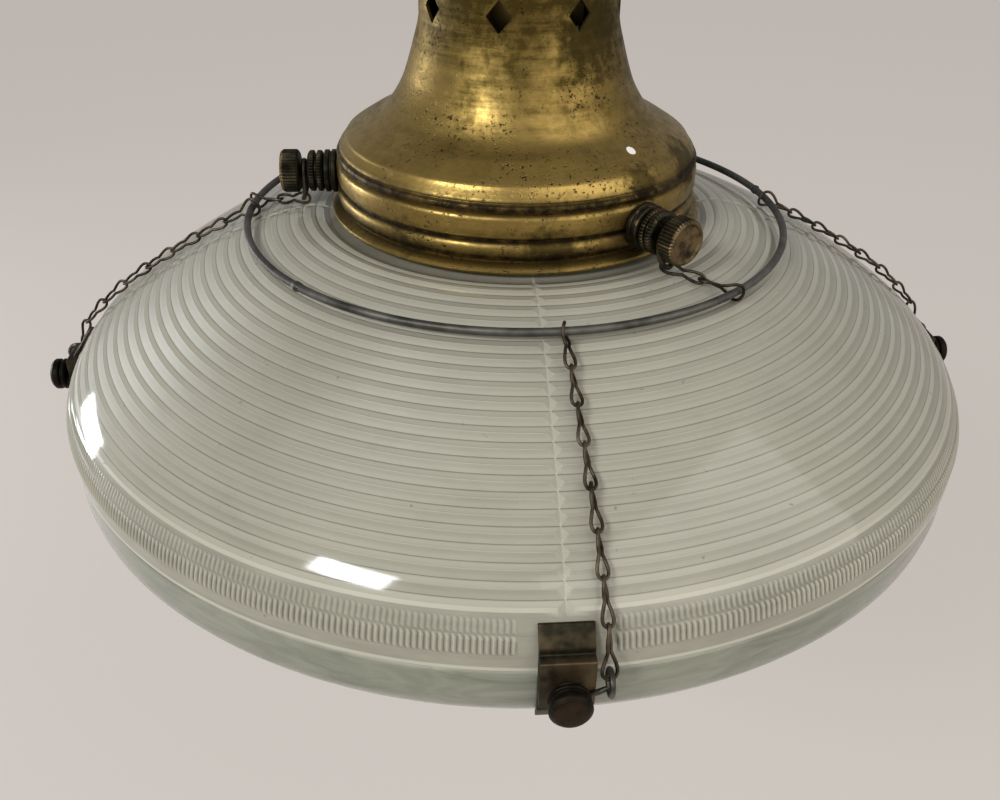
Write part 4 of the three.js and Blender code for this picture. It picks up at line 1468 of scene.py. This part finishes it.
@dataclass
class HolderScrews:
    """The three thumb screws, their bosses and the wire eyelets in their grooves."""

    angles: tuple[float, ...] = (-51.0, 66.0, 183.0)
    height: float = 72.0
    shank: float = 2.4
    boss_inner: float = 58.8
    boss_outer: float = 62.7
    boss_radius: float = 6.9
    boss_corner: float = 0.25
    collar_inner: float = 63.0
    collar_outer: float = 68.0
    collar_radius: float = 6.6
    groove_radius: float = 2.0
    head_inner: float = 70.8
    head_outer: float = 76.8
    head_radius: float = 6.9
    corner: float = 0.3
    tip: float = 53.3
    mill_count: int = 40
    mill_depth: float = 0.36
    boss_steps: int = 96
    steps: int = 160
    eyelet_steps: int = 72
    eyelet_wire: float = 0.8
    eyelet_width: float = 3.6
    eyelet_drop: float = 9.3
    eyelet_lean: float = 1.2
    eyelet_taper: float = 0.08

    @property
    def eyelet_radius(self) -> float:
        """The distance from the lamp's axis to the middle of the groove."""
        return (self.collar_outer + self.head_inner) / 2

    def boss(self) -> Shape:
        """Turns the boss, a stepped and grooved ring round the shank.

        Returns:
            The boss, about Z.
        """
        bore = self.shank + GAP
        low, high, wide = self.boss_inner, self.boss_outer, self.boss_radius
        outline = rounded([
            (bore, low), (wide, low), (wide, low + 1.3), (wide - 0.7, low + 1.6),
            (wide - 0.7, low + 2.0), (wide - 0.1, low + 2.3), (wide - 0.1, high - 0.3),
            (wide - 1.2, high), (bore, high),
        ], self.boss_corner)
        return turned(outline, self.boss_steps)

    def screw(self) -> Shape:
        """Turns the screw: shank, milled collar, groove and milled head with a raised rim.

        Returns:
            The screw, about Z.
        """
        collar, head, neck = self.collar_radius, self.head_radius, self.groove_radius
        low, high = self.collar_inner, self.collar_outer
        inner, outer = self.head_inner, self.head_outer
        shank, tip = self.shank, self.tip
        outline = rounded([
            (0.0, tip), (shank - 0.6, tip), (shank, tip + 0.8), (shank, low), (collar - 0.9, low),
            (collar, low + 0.7), (collar, low + 1.9), (collar - 1.1, low + 2.2),
            (collar - 1.1, low + 2.7), (collar, low + 3.0), (collar, high - 0.7),
            (collar - 0.9, high), (neck + 0.4, high), (neck, high + 0.4), (neck, inner - 0.4),
            (neck + 0.4, inner), (head - 0.9, inner), (head, inner + 0.7), (head, outer - 0.9),
            (head - 0.7, outer), (head - 1.3, outer), (head - 1.7, outer - 0.6),
            (2.4, outer - 0.75), (0.0, outer - 0.55),
        ], self.corner, closed=False)
        shape = turned(outline, self.steps, closed=False)
        milled(shape, self.mill_count, self.mill_depth, low + 0.2, high - 0.2, collar - 0.45)
        milled(shape, self.mill_count, self.mill_depth, inner + 0.3, outer - 0.5, head - 0.45)
        rub_above(shape, outer - 0.95)
        return shape

    def eyelet(self) -> Line:
        """Gives the wire loop's middle line, about the groove of a screw on +X.

        Returns:
            The closed line's points in millimetres.
        """
        top = self.groove_radius + self.eyelet_wire + 2 * GAP
        half = (top + self.eyelet_drop) / 2
        points = []
        for step in range(self.eyelet_steps):
            angle = math.tau * step / self.eyelet_steps
            up = top - half + half * math.cos(angle)
            across = self.eyelet_width * math.sin(angle) * (1 + self.eyelet_taper * math.cos(angle))
            depth = max(0.0, -up / self.eyelet_drop)
            out = self.eyelet_lean * depth**4
            points.append(Vector((self.eyelet_radius + out, across, seam_up(self.height + up))))
        return points

    def build(self, boss_finish: DarkenedMetal, screw_finish: DarkenedMetal,
              wire_material: Material) -> list[Piece]:
        """Builds the bosses, screws and eyelets.

        Args:
            boss_finish: The finish of the bosses.
            screw_finish: The finish of the screws.
            wire_material: The wire's material.

        Returns:
            The pieces.
        """
        boss_material = boss_finish.material("boss_finish")
        screw_material = screw_finish.material("holder_screw_finish")
        pieces = []
        for number, angle in enumerate(self.angles, 1):
            lay = spoke(angle, self.height) @ LIE_OUTWARD
            boss = new_piece(f"screw_boss_{number}", laid(self.boss(), lay))
            pieces.append(fit(boss, LAMP, boss_material, [f"boss_{number}"]))
            screw = new_piece(f"thumb_screw_{number}", laid(self.screw(), lay))
            body = Body.HOLDER_SCREW.of(number)
            pieces.append(fit(screw, body, screw_material, [body]))
            turn = Matrix.Rotation(math.radians(angle), 4, "Z")
            points = [turn @ point for point in self.eyelet()]
            loop = wire(f"wire_eyelet_{number}", points, self.eyelet_wire, closed=True)
            body = Body.EYELET.of(number)
            pieces.append(fit(loop, body, wire_material, [body]))
        return pieces


@dataclass(frozen=True)
class Eye:
    """One end of a link: its half width, its reach past the joint and its roll."""

    size: float
    reach: float
    roll: float


@dataclass
class Chains:
    """The ring, the three short chains that carry it and the four long chains to the clips."""

    ring_radius: float = 88.5
    ring_wire: float = 1.2
    ring_float: float = 2.6
    ring_play: float = 0.15
    splices: tuple[Pair, ...] = ((-134.5, 1.6), (14.5, 1.3))
    link_wire: float = 0.47
    eye: float = 1.35
    end_eye: float = 1.6
    end_play: float = 0.9
    hook_eye: float = 1.9
    ring_eye: float = 2.65
    waist_play: float = 0.2
    slack: float = 0.45
    links: int = 8
    lift: float = 0.7
    under_eye: float = 0.45
    solder: float = 0.32
    swell: float = 0.10
    waves: Triple = (7.1, 5.3, 3.0)
    crowding: float = 0.35
    steps: int = 44
    short_turns: tuple[float, ...] = (6.5, 6.0, -5.5)
    line_shares: tuple[float, ...] = (0.42, 0.55, 0.7, 0.85, 1.0)
    line_steps: int = 24
    mesh_share: float = 0.85

    def ring_height(self, dome: GlassDome) -> float:
        """Gives the height of the ring's middle above the seam."""
        return dome.height_at(self.ring_radius) + dome.rib_height + self.ring_wire + self.ring_float

    def around(self, thickness: float, play: float, size: float, roll: float) -> Eye:
        """Makes an eye that goes round a wire of a given thickness."""
        return Eye(size, thickness + play + GAP + self.link_wire, roll)

    def loose(self, roll: float) -> Eye:
        """Makes an eye that hangs in another link's eye."""
        return Eye(self.eye, self.link_wire + (GAP + self.slack) / 2, roll)

    def link(self, start: Vector, finish: Vector, normal: Vector, first: Eye, last: Eye) -> Line:
        """Gives the middle line of one pinched wire link.

        Args:
            start: The joint where it begins.
            finish: The joint where it ends.
            normal: The direction of an eye that isn't rolled.
            first: The eye at the start.
            last: The eye at the end.

        Returns:
            The closed line's points.
        """
        along = (finish - start).normalized()
        start = start - along * first.reach
        finish = finish + along * last.reach
        side = along.cross(normal).normalized()
        up = side.cross(along).normalized()
        middle = (start + finish) / 2
        half = (finish - start).length / 2
        waist = self.link_wire + self.waist_play
        points = []
        for step in range(self.steps):
            share = step / self.steps
            angle = math.tau * share - self.crowding * math.sin(2 * math.tau * share)
            place = -math.cos(angle)
            size = first.size if place < 0 else last.size
            width = math.sin(angle) * (waist + (2 * size - waist) * abs(place))
            roll = first.roll + (last.roll - first.roll) * (1 + place) / 2
            points.append(middle + along * place * half + up * width * math.cos(roll)
                          + side * width * math.sin(roll))
        return points

    def short_chain(self, index: int, screws: HolderScrews, dome: GlassDome) -> list[Line]:
        """Gives the two links from an eyelet to the ring.

        Args:
            index: The number of the screw, from 0.
            screws: The screws.
            dome: The dome under the ring.

        Returns:
            The two links' middle lines.
        """
        angle = screws.angles[index]
        ring = self.ring_height(dome)
        reach = screws.eyelet_radius + screws.eyelet_lean
        start = self.polar(reach, angle, screws.height - screws.eyelet_drop)
        finish = self.polar(self.ring_radius, angle + self.short_turns[index], ring)
        middle = (start + finish) / 2
        up = Vector((0, 0, 1))
        twist = math.copysign(math.pi / 2, self.short_turns[index])
        first = self.around(screws.eyelet_wire, self.end_play, self.end_eye, 0)
        last = self.around(self.ring_wire, self.ring_play, self.ring_eye, 0)
        near = self.link(start, middle, up, first, self.loose(0))
        return [near, self.link(middle, finish, up, self.loose(twist), last)]

    @staticmethod
    def polar(radius: float, degrees: float, height: float) -> Vector:
        """Gives a point by its radius, angle and height above the seam."""
        angle = math.radians(degrees)
        return Vector((radius * math.cos(angle), radius * math.sin(angle), seam_up(height)))

    def joints(self, dome: GlassDome, clips: "Clips") -> Line:
        """Gives a long chain's joints in the upright plane through +X.

        Args:
            dome: The dome under the chain.
            clips: The clips at its end.

        Returns:
            The joints, from the ring to the hook.
        """
        lift = dome.rib_height + self.eye + self.under_eye + self.lift
        points = [(self.ring_radius, self.ring_height(dome))]
        points += [tuple(dome.line_at(share, lift)) for share in self.line_shares]
        points += [(dome.rim_radius + dome.bulge + lift, dome.side_height), clips.chain_end()]
        line = even_points(flowing(points, self.line_steps), self.links)
        return [Vector((point.x, 0, seam_up(point.y))) for point in line]

    def long_chain(self, dome: GlassDome, clips: "Clips") -> list[Line]:
        """Gives the links of a long chain in the upright plane through +X.

        Args:
            dome: The dome under the chain.
            clips: The clips at its end.

        Returns:
            The links' middle lines.
        """
        joints = self.joints(dome, clips)
        links = []
        half = self.links // 2
        flat = math.pi / 2
        for index, (start, finish) in enumerate(zip(joints, joints[1:])):
            along = finish - start
            level = Vector((0, 0, 1)).cross(along)
            normal = along.cross(level).normalized()
            meshed = self.link_wire * self.mesh_share
            first = self.loose(0) if index == half else Eye(self.eye, meshed, 0)
            last = self.loose(flat) if index == half - 1 else Eye(self.eye, meshed, flat)
            if index == 0:
                first = self.around(self.ring_wire, self.ring_play, self.ring_eye, 0)
            if index == self.links - 1:
                last = self.around(clips.hook_wire, clips.hook_play, self.hook_eye, flat)
            links.append(self.link(start, finish, normal, first, last))
        return links

    def ring(self, dome: GlassDome) -> Line:
        """Gives the ring's middle line."""
        height = self.ring_height(dome)
        return [self.polar(self.ring_radius, degrees, height) for degrees in range(0, 360, 2)]

    def splice(self, dome: GlassDome, middle: float, half: float) -> Shape:
        """Makes a solder bead on the ring, a lump that tapers to both sides.

        Args:
            dome: The dome that the ring stands over.
            middle: The angle of its middle about the lamp.
            half: Half its length in degrees.

        Returns:
            The lump as a closed shell.
        """
        shape = bmesh.new()
        bmesh.ops.create_uvsphere(shape, u_segments=24, v_segments=16, radius=1.0)
        for vert in shape.verts:
            wave = math.sin(self.waves[0] * vert.co.x + self.waves[2] * vert.co.z)
            vert.co.xy *= 1 + self.swell * wave * math.cos(self.waves[1] * vert.co.y)
        reach = math.radians(half) * self.ring_radius
        thick = self.ring_wire + self.solder
        bmesh.ops.scale(shape, vec=(thick * MM, thick * MM, reach * MM), verts=shape.verts)
        lay = Matrix.Rotation(math.pi / 2, 4, "X")
        place = Matrix.Translation(self.polar(self.ring_radius, middle, self.ring_height(dome)) * MM)
        turn = Matrix.Rotation(math.radians(middle), 4, "Z")
        return laid(shape, place @ turn @ lay)

    def build(self, dome: GlassDome, screws: HolderScrews, clips: "Clips",
              link_material: Material, ring_material: Material) -> list[Piece]:
        """Builds the ring and all links.

        Args:
            dome: The dome under the chains.
            screws: The screws that carry the short chains.
            clips: The clips that end the long chains.
            link_material: The links' material.
            ring_material: The ring's material.

        Returns:
            The pieces.
        """
        hoop = wire("wire_ring", self.ring(dome), self.ring_wire, closed=True, sides=4)
        pieces = [fit(hoop, LAMP, ring_material, ["ring"])]
        for number, (middle, half) in enumerate(self.splices, 1):
            lump = new_piece(f"ring_solder_{number}", self.splice(dome, middle, half))
            pieces.append(fit(lump, LAMP, ring_material))
        for index in range(len(screws.angles)):
            bodies = (Body.SHORT_NEAR, Body.SHORT_FAR)
            for part, points in zip(bodies, self.short_chain(index, screws, dome)):
                body = part.of(index + 1)
                link = wire(f"{body}_wire", points, self.link_wire, closed=True)
                pieces.append(fit(link, body, link_material, [body]))
        for number, angle in enumerate(clips.chain_angles(), 1):
            turn = Matrix.Rotation(math.radians(angle), 4, "Z")
            for index, points in enumerate(self.long_chain(dome, clips)):
                upper = index < self.links // 2
                body = (Body.CHAIN_UPPER if upper else Body.CHAIN_LOWER).of(number)
                laid_out = [turn @ point for point in points]
                name = f"chain_{number}_link_{index + 1}"
                link = wire(name, laid_out, self.link_wire, closed=True)
                first_of_body = index in (0, self.links // 2)
                fit(link, body, link_material, [body] if first_of_body else [])
                pieces.append(link)
        return pieces


@dataclass
class Clips:
    """The four clips at the rims, their thumb screws and the wire hooks that hold the chains."""

    angles: tuple[float, ...] = (-85.0, 5.0, 95.0, 185.0)
    sides: tuple[int, ...] = (1, 1, 1, -1)
    width: float = 13.6
    sheet: float = 1.2
    worn_edge: float = 0.22
    plate_corner: float = 0.5
    inner: float = 152.9
    block_outer: float = 157.1
    block_top: float = 7.8
    block_bottom: float = -6.8
    screw_height: float = -1.0
    shank: float = 1.9
    hole_middle: float = 155.0
    hole_length: float = 12.0
    neck: float = 1.6
    head_inner: float = 159.2
    head_length: float = 5.6
    head_radius: float = 5.4
    corner: float = 0.35
    hook_radius: float = 158.15
    hook_wire: float = 0.75
    hook_eye: float = 3.1
    hook_reach: float = 9.9
    hook_rise: float = 3.1
    hook_bearing: float = 30.0
    hook_play: float = 0.95
    coil_from: float = 200.0
    coil_sweep: float = 300.0
    coil_steps: int = 24
    loop_from: float = 250.0
    loop_sweep: float = 345.0
    loop_steps: int = 28
    arm_sag: float = 0.5
    arm_steps: int = 5
    screw_steps: int = 132

    def chain_end(self) -> Pair:
        """Gives the radius and height at which a chain's last joint bears in the hook's eye.

        Returns:
            The radius and the height above the seam.
        """
        lean = math.radians(self.hook_bearing)
        radius = math.hypot(self.hook_radius, self.hook_reach) - self.hook_eye * math.sin(lean)
        return radius, self.screw_height + self.hook_rise + self.hook_eye * math.cos(lean)

    def chain_angles(self) -> list[float]:
        """Gives the angle of each long chain about the lamp."""
        away = math.degrees(math.atan2(self.hook_reach, self.hook_radius))
        return [angle + side * away for angle, side in zip(self.angles, self.sides)]

    def bracket(self) -> Shape:
        """Makes the bent plate with its block, about +X.

        Returns:
            The plate as a closed shell.
        """
        inner, outer = self.inner, self.inner + self.sheet
        outline = [
            (149.25, 13.8), (152.9, 9.0), (inner, -10.0), (150.4, -15.0), (151.3, -16.1),
            (outer, -11.0), (outer, self.block_bottom), (self.block_outer, self.block_bottom),
            (self.block_outer, self.block_top), (outer, self.block_top), (outer, 9.6),
            (150.3, 14.35),
        ]
        shape = bmesh.new()
        half = self.width / 2 * MM
        verts = [shape.verts.new((x * MM, -half, seam_up(z) * MM))
                 for x, z in rounded(outline, self.plate_corner)]
        shape.faces.new(verts)
        thicken(shape, (0, 2 * half, 0))
        rims = [edge for edge in shape.edges if len(edge.link_faces) == 2
                and any(len(face.verts) > 8 for face in edge.link_faces)]
        bmesh.ops.bevel(shape, geom=rims, offset=self.worn_edge * MM, offset_type="OFFSET", segments=2,
                        profile=0.5, affect="EDGES", material=-1, clamp_overlap=True)
        return shape

    def screw(self) -> Shape:
        """Turns the clip's thumb screw with its grooved head.

        Returns:
            The screw, about Z.
        """
        head, start = self.head_radius, self.head_inner
        end = start + self.head_length
        outline = rounded([
            (0.0, self.inner), (self.shank, self.inner), (self.shank, self.block_outer),
            (self.neck, self.block_outer + 0.3), (self.neck, start), (head - 0.7, start),
            (head, start + 0.8), (head, start + 1.5), (head - 0.8, start + 1.8),
            (head - 0.8, start + 2.3), (head, start + 2.6), (head, end - 1.3), (head - 1.1, end - 0.2),
            (head - 2.0, end), (0.0, end),
        ], self.corner, closed=False)
        shape = turned(outline, self.screw_steps, closed=False)
        rub_above(shape, end - 0.25)
        return shape

    def middle(self) -> Vector:
        """Gives the middle of the hook's coil, on the screw's neck of a clip on +X."""
        return Vector((self.hook_radius, 0, seam_up(self.screw_height)))

    def coil(self, side: int) -> Line:
        """Gives the hook's turn round the screw's neck, on the side that it points to.

        Args:
            side: 1 or -1, the side that the hook points to.

        Returns:
            The points in millimetres.
        """
        neck = self.neck + GAP + self.hook_wire
        points = []
        for step in range(self.coil_steps + 1):
            angle = math.radians(self.coil_from - step * self.coil_sweep / self.coil_steps)
            turned_by = Vector((0, side * neck * math.cos(angle), neck * math.sin(angle)))
            points.append(self.middle() + turned_by)
        return points

    def build(self, metal: DarkenedMetal, screw_metal: DarkenedMetal,
              wire_material: Material) -> list[Piece]:
        """Builds the clips, their screws and hooks.

        Args:
            metal: The brackets' finish.
            screw_metal: The screws' finish.
            wire_material: The hooks' material.

        Returns:
            The pieces.
        """
        bracket_material = metal.material("clip_finish")
        screw_material = screw_metal.material("clip_screw_finish")
        pieces = []
        for number, (angle, side) in enumerate(zip(self.angles, self.sides), 1):
            turn = Matrix.Rotation(math.radians(angle), 4, "Z")
            across = spoke(angle, self.screw_height)
            plate = new_piece(f"clip_plate_{number}", laid(self.bracket(), turn))
            lay = across @ Matrix.Translation((self.hole_middle * MM, 0, 0)) @ LIE_OUTWARD
            cut_away(plate, [laid(rod(self.shank + GAP, self.hole_length), lay)])
            pieces.append(fit(plate, LAMP, bracket_material, [f"clip_{number}"]))
            screw = new_piece(f"clip_thumb_{number}", laid(self.screw(), across @ LIE_OUTWARD))
            body = Body.CLIP_SCREW.of(number)
            pieces.append(fit(screw, body, screw_material, [body]))
            pieces.append(self.build_hook(number, side, turn, wire_material))
        return pieces

    def build_hook(self, number: int, side: int, turn: Matrix, material: Material) -> Piece:
        """Bends one hook of a single wire.

        Args:
            number: The clip's number.
            side: 1 or -1, the side that the hook points to.
            turn: The clip's turn about the lamp.
            material: The wire's material.

        Returns:
            The hook.
        """
        coil = self.coil(side)
        eye = self.middle() + Vector((0, side * self.hook_reach, self.hook_rise))
        loop = []
        for step in range(self.loop_steps + 1):
            angle = math.radians(self.loop_from - step * self.loop_sweep / self.loop_steps)
            across = Vector((self.hook_eye * math.cos(angle), 0, self.hook_eye * math.sin(angle)))
            loop.append(eye + across)
        bend = coil[-1].lerp(loop[0], 0.5) + Vector((0, 0, -self.arm_sag))
        arm = flowing([coil[-1], bend, loop[0]], self.arm_steps)
        points = [*coil, *arm[1:-1], *loop]
        body = Body.CLIP_HOOK.of(number)
        laid_out = [turn @ point for point in points]
        hook = wire(f"hook_wire_{number}", laid_out, self.hook_wire, closed=False)
        return fit(hook, body, material, [body])


@dataclass
class Hanger:
    """The loop, its base and the collar above the holder, bored for the nipple."""

    holder_top: float = 149.7
    collar_height: float = 5.0
    collar_radius: float = 13.0
    collar_corner: float = 0.35
    base_radius: float = 8.0
    base_corner: float = 0.4
    base_height: float = 9.0
    loop_radius: float = 14.0
    loop_wire: float = 2.4
    loop_half_gap: float = 3.9
    loop_steps: int = 72
    nipple: float = 5.0
    collar_steps: int = 96
    base_steps: int = 80

    def build(self, brass: AgedBrass) -> list[Piece]:
        """Builds the collar and the loop.

        Args:
            brass: The finish of both.

        Returns:
            The pieces.
        """
        material = brass.material("hanger_finish")
        low = seam_up(self.holder_top + GAP)
        high = low + self.collar_height
        bore = self.nipple + GAP
        wide = self.collar_radius
        collar = turned(rounded([
            (bore, low), (wide - 1.0, low), (wide, low + 1.1), (wide, low + 2.0),
            (wide - 0.8, low + 2.5), (wide, low + 3.0), (wide, high - 1.1), (wide - 1.1, high),
            (bore, high),
        ], self.collar_corner), self.collar_steps)
        collar_piece = new_piece("hanger_collar", collar)
        pieces = [fit(collar_piece, LAMP, material, ["loop_collar"])]
        foot = high + GAP
        top = foot + self.base_height
        middle = seam_up(self.holder_top + self.collar_height + self.base_height + self.loop_radius)
        base = turned(rounded([
            (bore, foot), (self.base_radius, foot), (self.base_radius, foot + 2.2), (6.6, foot + 3.4),
            (6.0, foot + 5.0), (6.2, foot + 7.0), (5.6, top), (3.4, top), (3.4, foot + 4.5),
            (bore, foot + 4.5),
        ], self.base_corner), self.base_steps)
        base_piece = new_piece("hanger_base", base)
        pieces.append(fit(base_piece, LAMP, material, ["hanging_loop"]))
        start = math.degrees(math.asin(self.loop_half_gap / self.loop_radius))
        arc = circle(self.loop_radius, self.loop_steps, 180 + start, 360 - 2 * start)
        across = Matrix.Rotation(math.pi / 2, 3, "Z")
        points = [across @ point + Vector((0, 0, middle)) for point in arc]
        loop = wire("hanger_loop", points, self.loop_wire, closed=False, sides=6)
        pieces.append(fit(loop, LAMP, material))
        return pieces


class Inside:
    """The lampholder, nipple and bulb, which keep the frame's solids and get their finishes."""

    finishes: dict[Slot, PlainCoat] = {
        Slot.AGED_BRASS: PlainCoat((0.46, 0.33, 0.12), (0.30, 0.20, 0.07), metallic=1.0, rough=0.32),
        Slot.PLATED_STEEL: PlainCoat((0.45, 0.44, 0.42), (0.30, 0.29, 0.27), metallic=1.0, rough=0.38),
        Slot.BULB_METAL: PlainCoat((0.62, 0.61, 0.58), (0.45, 0.44, 0.42), metallic=1.0, rough=0.34),
        Slot.PORCELAIN: PlainCoat((0.80, 0.78, 0.72), (0.72, 0.69, 0.61), rough=0.22, lumps=40.0),
        Slot.BULB_GLASS: PlainCoat((0.86, 0.86, 0.84), (0.80, 0.80, 0.78), rough=0.45, clear=0.35,
                                   lumps=30.0),
    }
    nodes: dict[str, Slot] = {
        "nipple": Slot.AGED_BRASS,
        "socket_cap": Slot.AGED_BRASS,
        "socket_shell": Slot.AGED_BRASS,
        "centre_contact": Slot.AGED_BRASS,
        "lock_nut": Slot.PLATED_STEEL,
        "terminal_screw_1": Slot.PLATED_STEEL,
        "terminal_screw_2": Slot.PLATED_STEEL,
        "bulb_tip": Slot.PLATED_STEEL,
        "bulb_cap": Slot.BULB_METAL,
        "socket_body": Slot.PORCELAIN,
        "bulb_glass": Slot.BULB_GLASS,
        "bulb_stem": Slot.BULB_GLASS,
    }

    def dress(self) -> list[Piece]:
        """Gives each of the frame's nodes its finish and returns the nodes.

        Returns:
            The nodes.
        """
        materials = {slot: coat.material(f"{slot.value}_inside")
                     for slot, coat in self.finishes.items()}
        dressed = []
        for name, slot in self.nodes.items():
            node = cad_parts[name]
            node.data.materials.clear()
            node.data.materials.append(materials[slot])
            dressed.append(node)
        return dressed


@dataclass(frozen=True)
class Lamp:
    """A rectangular light: its place and size in millimetres, its power in watts and its colour."""

    name: str
    place: Triple
    size: Pair
    power: float
    colour: Triple


@dataclass
class Studio:
    """The camera, the pale floor and the soft light."""

    eye: Triple = (-2.42, -321.36, 183.27)
    pitch: float = 32.056
    yaw: float = 0.312
    roll: float = 0.794
    lens: float = 36.0
    sensor: float = 36.0
    floor: float = -520.0
    floor_half: float = 6.0
    floor_rough: float = 0.85
    floor_colour: Triple = (0.72, 0.67, 0.63)
    wall_colour: Triple = (0.60, 0.553, 0.512)
    wall_share: float = 0.7
    wall_shade: float = 0.86
    sky: Triple = (0.86, 0.85, 0.83)
    sky_strength: float = 0.42
    target: Triple = (0.0, 0.0, -150.0)
    lamps: tuple[Lamp, ...] = (
        Lamp("window", (-771, -985, 690), (430, 300), 14.5, (0.97, 0.985, 1.0)),
        Lamp("side_window", (-1190, 477, -195), (300, 260), 5, (0.95, 0.975, 1.0)),
        Lamp("room", (1100, -900, 700), (2000, 1700), 17, (1.0, 0.97, 0.93)),
    )

    def camera(self) -> None:
        """Places the camera at the photograph's viewpoint."""
        data = bpy.data.cameras.new("camera")
        data.lens = self.lens
        data.sensor_width = self.sensor
        data.clip_start = 0.01
        camera = bpy.data.objects.new("camera", data)
        x, y, z = self.eye
        turn = Matrix.Rotation(math.radians(self.yaw), 4, "Z")
        tilt = Matrix.Rotation(math.radians(90 - self.pitch), 4, "X")
        lean = Matrix.Rotation(math.radians(self.roll), 4, "Z")
        camera.matrix_world = Matrix.Translation((x * MM, y * MM, seam_up(z) * MM)) @ turn @ tilt @ lean
        bpy.context.scene.collection.objects.link(camera)
        bpy.context.scene.camera = camera

    def ground(self) -> None:
        """Makes the floor, a wide plain sheet."""
        shape = bmesh.new()
        bmesh.ops.create_grid(shape, x_segments=1, y_segments=1, size=self.floor_half)
        bmesh.ops.translate(shape, vec=(0, 0, self.floor * MM), verts=shape.verts)
        floor = new_piece("floor", shape)
        sheet = NodeSheet("floor_finish")
        sheet.surface(Base_Color=self.floor_colour, Roughness=self.floor_rough)
        seen = sheet.tree.nodes.new("ShaderNodeLightPath").outputs["Is Camera Ray"]
        glow = sheet.tree.nodes.new("ShaderNodeEmission")
        sheet.put(glow.inputs["Color"], self.wall_colour)
        mix = sheet.tree.nodes.new("ShaderNodeMixShader")
        sheet.put(mix.inputs[0], sheet.times(seen, self.wall_share))
        sheet.put(mix.inputs[1], sheet.shader.outputs["BSDF"])
        sheet.put(mix.inputs[2], glow.outputs["Emission"])
        output = next(node for node in sheet.tree.nodes if node.type == "OUTPUT_MATERIAL")
        sheet.put(output.inputs["Surface"], mix.outputs["Shader"])
        floor.data.materials.append(sheet.material)

    def light(self, lamp: Lamp) -> None:
        """Hangs one soft rectangular light, which faces the object's middle.

        Args:
            lamp: The light.
        """
        data = bpy.data.lights.new(lamp.name, "AREA")
        data.shape = "RECTANGLE"
        data.size, data.size_y = (length * MM for length in lamp.size)
        data.energy = lamp.power
        data.color = lamp.colour
        hung = bpy.data.objects.new(lamp.name, data)
        start, end = Vector(lamp.place) * MM, Vector(self.target) * MM
        turn = (end - start).to_track_quat("-Z", "Y").to_matrix().to_4x4()
        hung.matrix_world = Matrix.Translation(start) @ turn
        bpy.context.scene.collection.objects.link(hung)

    def surroundings(self) -> None:
        """Lights the object evenly from all sides and shows the wall's colour behind it."""
        world = bpy.data.worlds.new("studio")
        world.use_nodes = True
        tree = world.node_tree
        sky = tree.nodes["Background"]
        sky.inputs["Color"].default_value = (*self.sky, 1.0)
        sky.inputs["Strength"].default_value = self.sky_strength
        wall = tree.nodes.new("ShaderNodeBackground")
        shaded = (level * self.wall_shade for level in self.wall_colour)
        wall.inputs["Color"].default_value = (*shaded, 1.0)
        mix = tree.nodes.new("ShaderNodeMixShader")
        tree.links.new(tree.nodes.new("ShaderNodeLightPath").outputs["Is Camera Ray"], mix.inputs[0])
        tree.links.new(sky.outputs["Background"], mix.inputs[1])
        tree.links.new(wall.outputs["Background"], mix.inputs[2])
        tree.links.new(mix.outputs["Shader"], tree.nodes["World Output"].inputs["Surface"])
        bpy.context.scene.world = world

    def build(self) -> None:
        """Sets up the whole studio."""
        self.camera()
        self.ground()
        self.surroundings()
        for lamp in self.lamps:
            self.light(lamp)
        bpy.context.scene.view_settings.view_transform = "Standard"


def main() -> None:
    """Builds the lamp's pieces in order and reports them."""
    logging.basicConfig(level=logging.INFO, format="%(name)s: %(message)s")
    Studio().build()
    dome = GlassDome()
    screws = HolderScrews()
    clips = Clips()
    holder = Holder()
    brass = AgedBrass(grooves=holder.grooves, upper_shade_from=holder.upper_shade_from, chip=holder.chip,
                      stains=holder.stains)
    links = LINK_WIRE.material("link_finish")
    ring = RING_WIRE.material("ring_finish")
    hooks = HOOK_WIRE.material("hook_finish")
    pieces = dome.build(PressedGlass())
    pieces += GlassBowl().build(BOWL_GLASS)
    pieces += holder.build(brass, screws)
    pieces += screws.build(BRASS_GONE_DARK, BRASS_GONE_DARK, links)
    pieces += Chains().build(dome, screws, clips, links, ring)
    pieces += clips.build(BRASS_GONE_DARK, CLIP_SCREWS_DARK, hooks)
    pieces += Hanger().build(AgedBrass())
    pieces += Inside().dress()
    for piece in pieces:
        log.info("%s: %d faces", piece.name, len(piece.data.polygons))


if __name__ == "__main__":
    main()
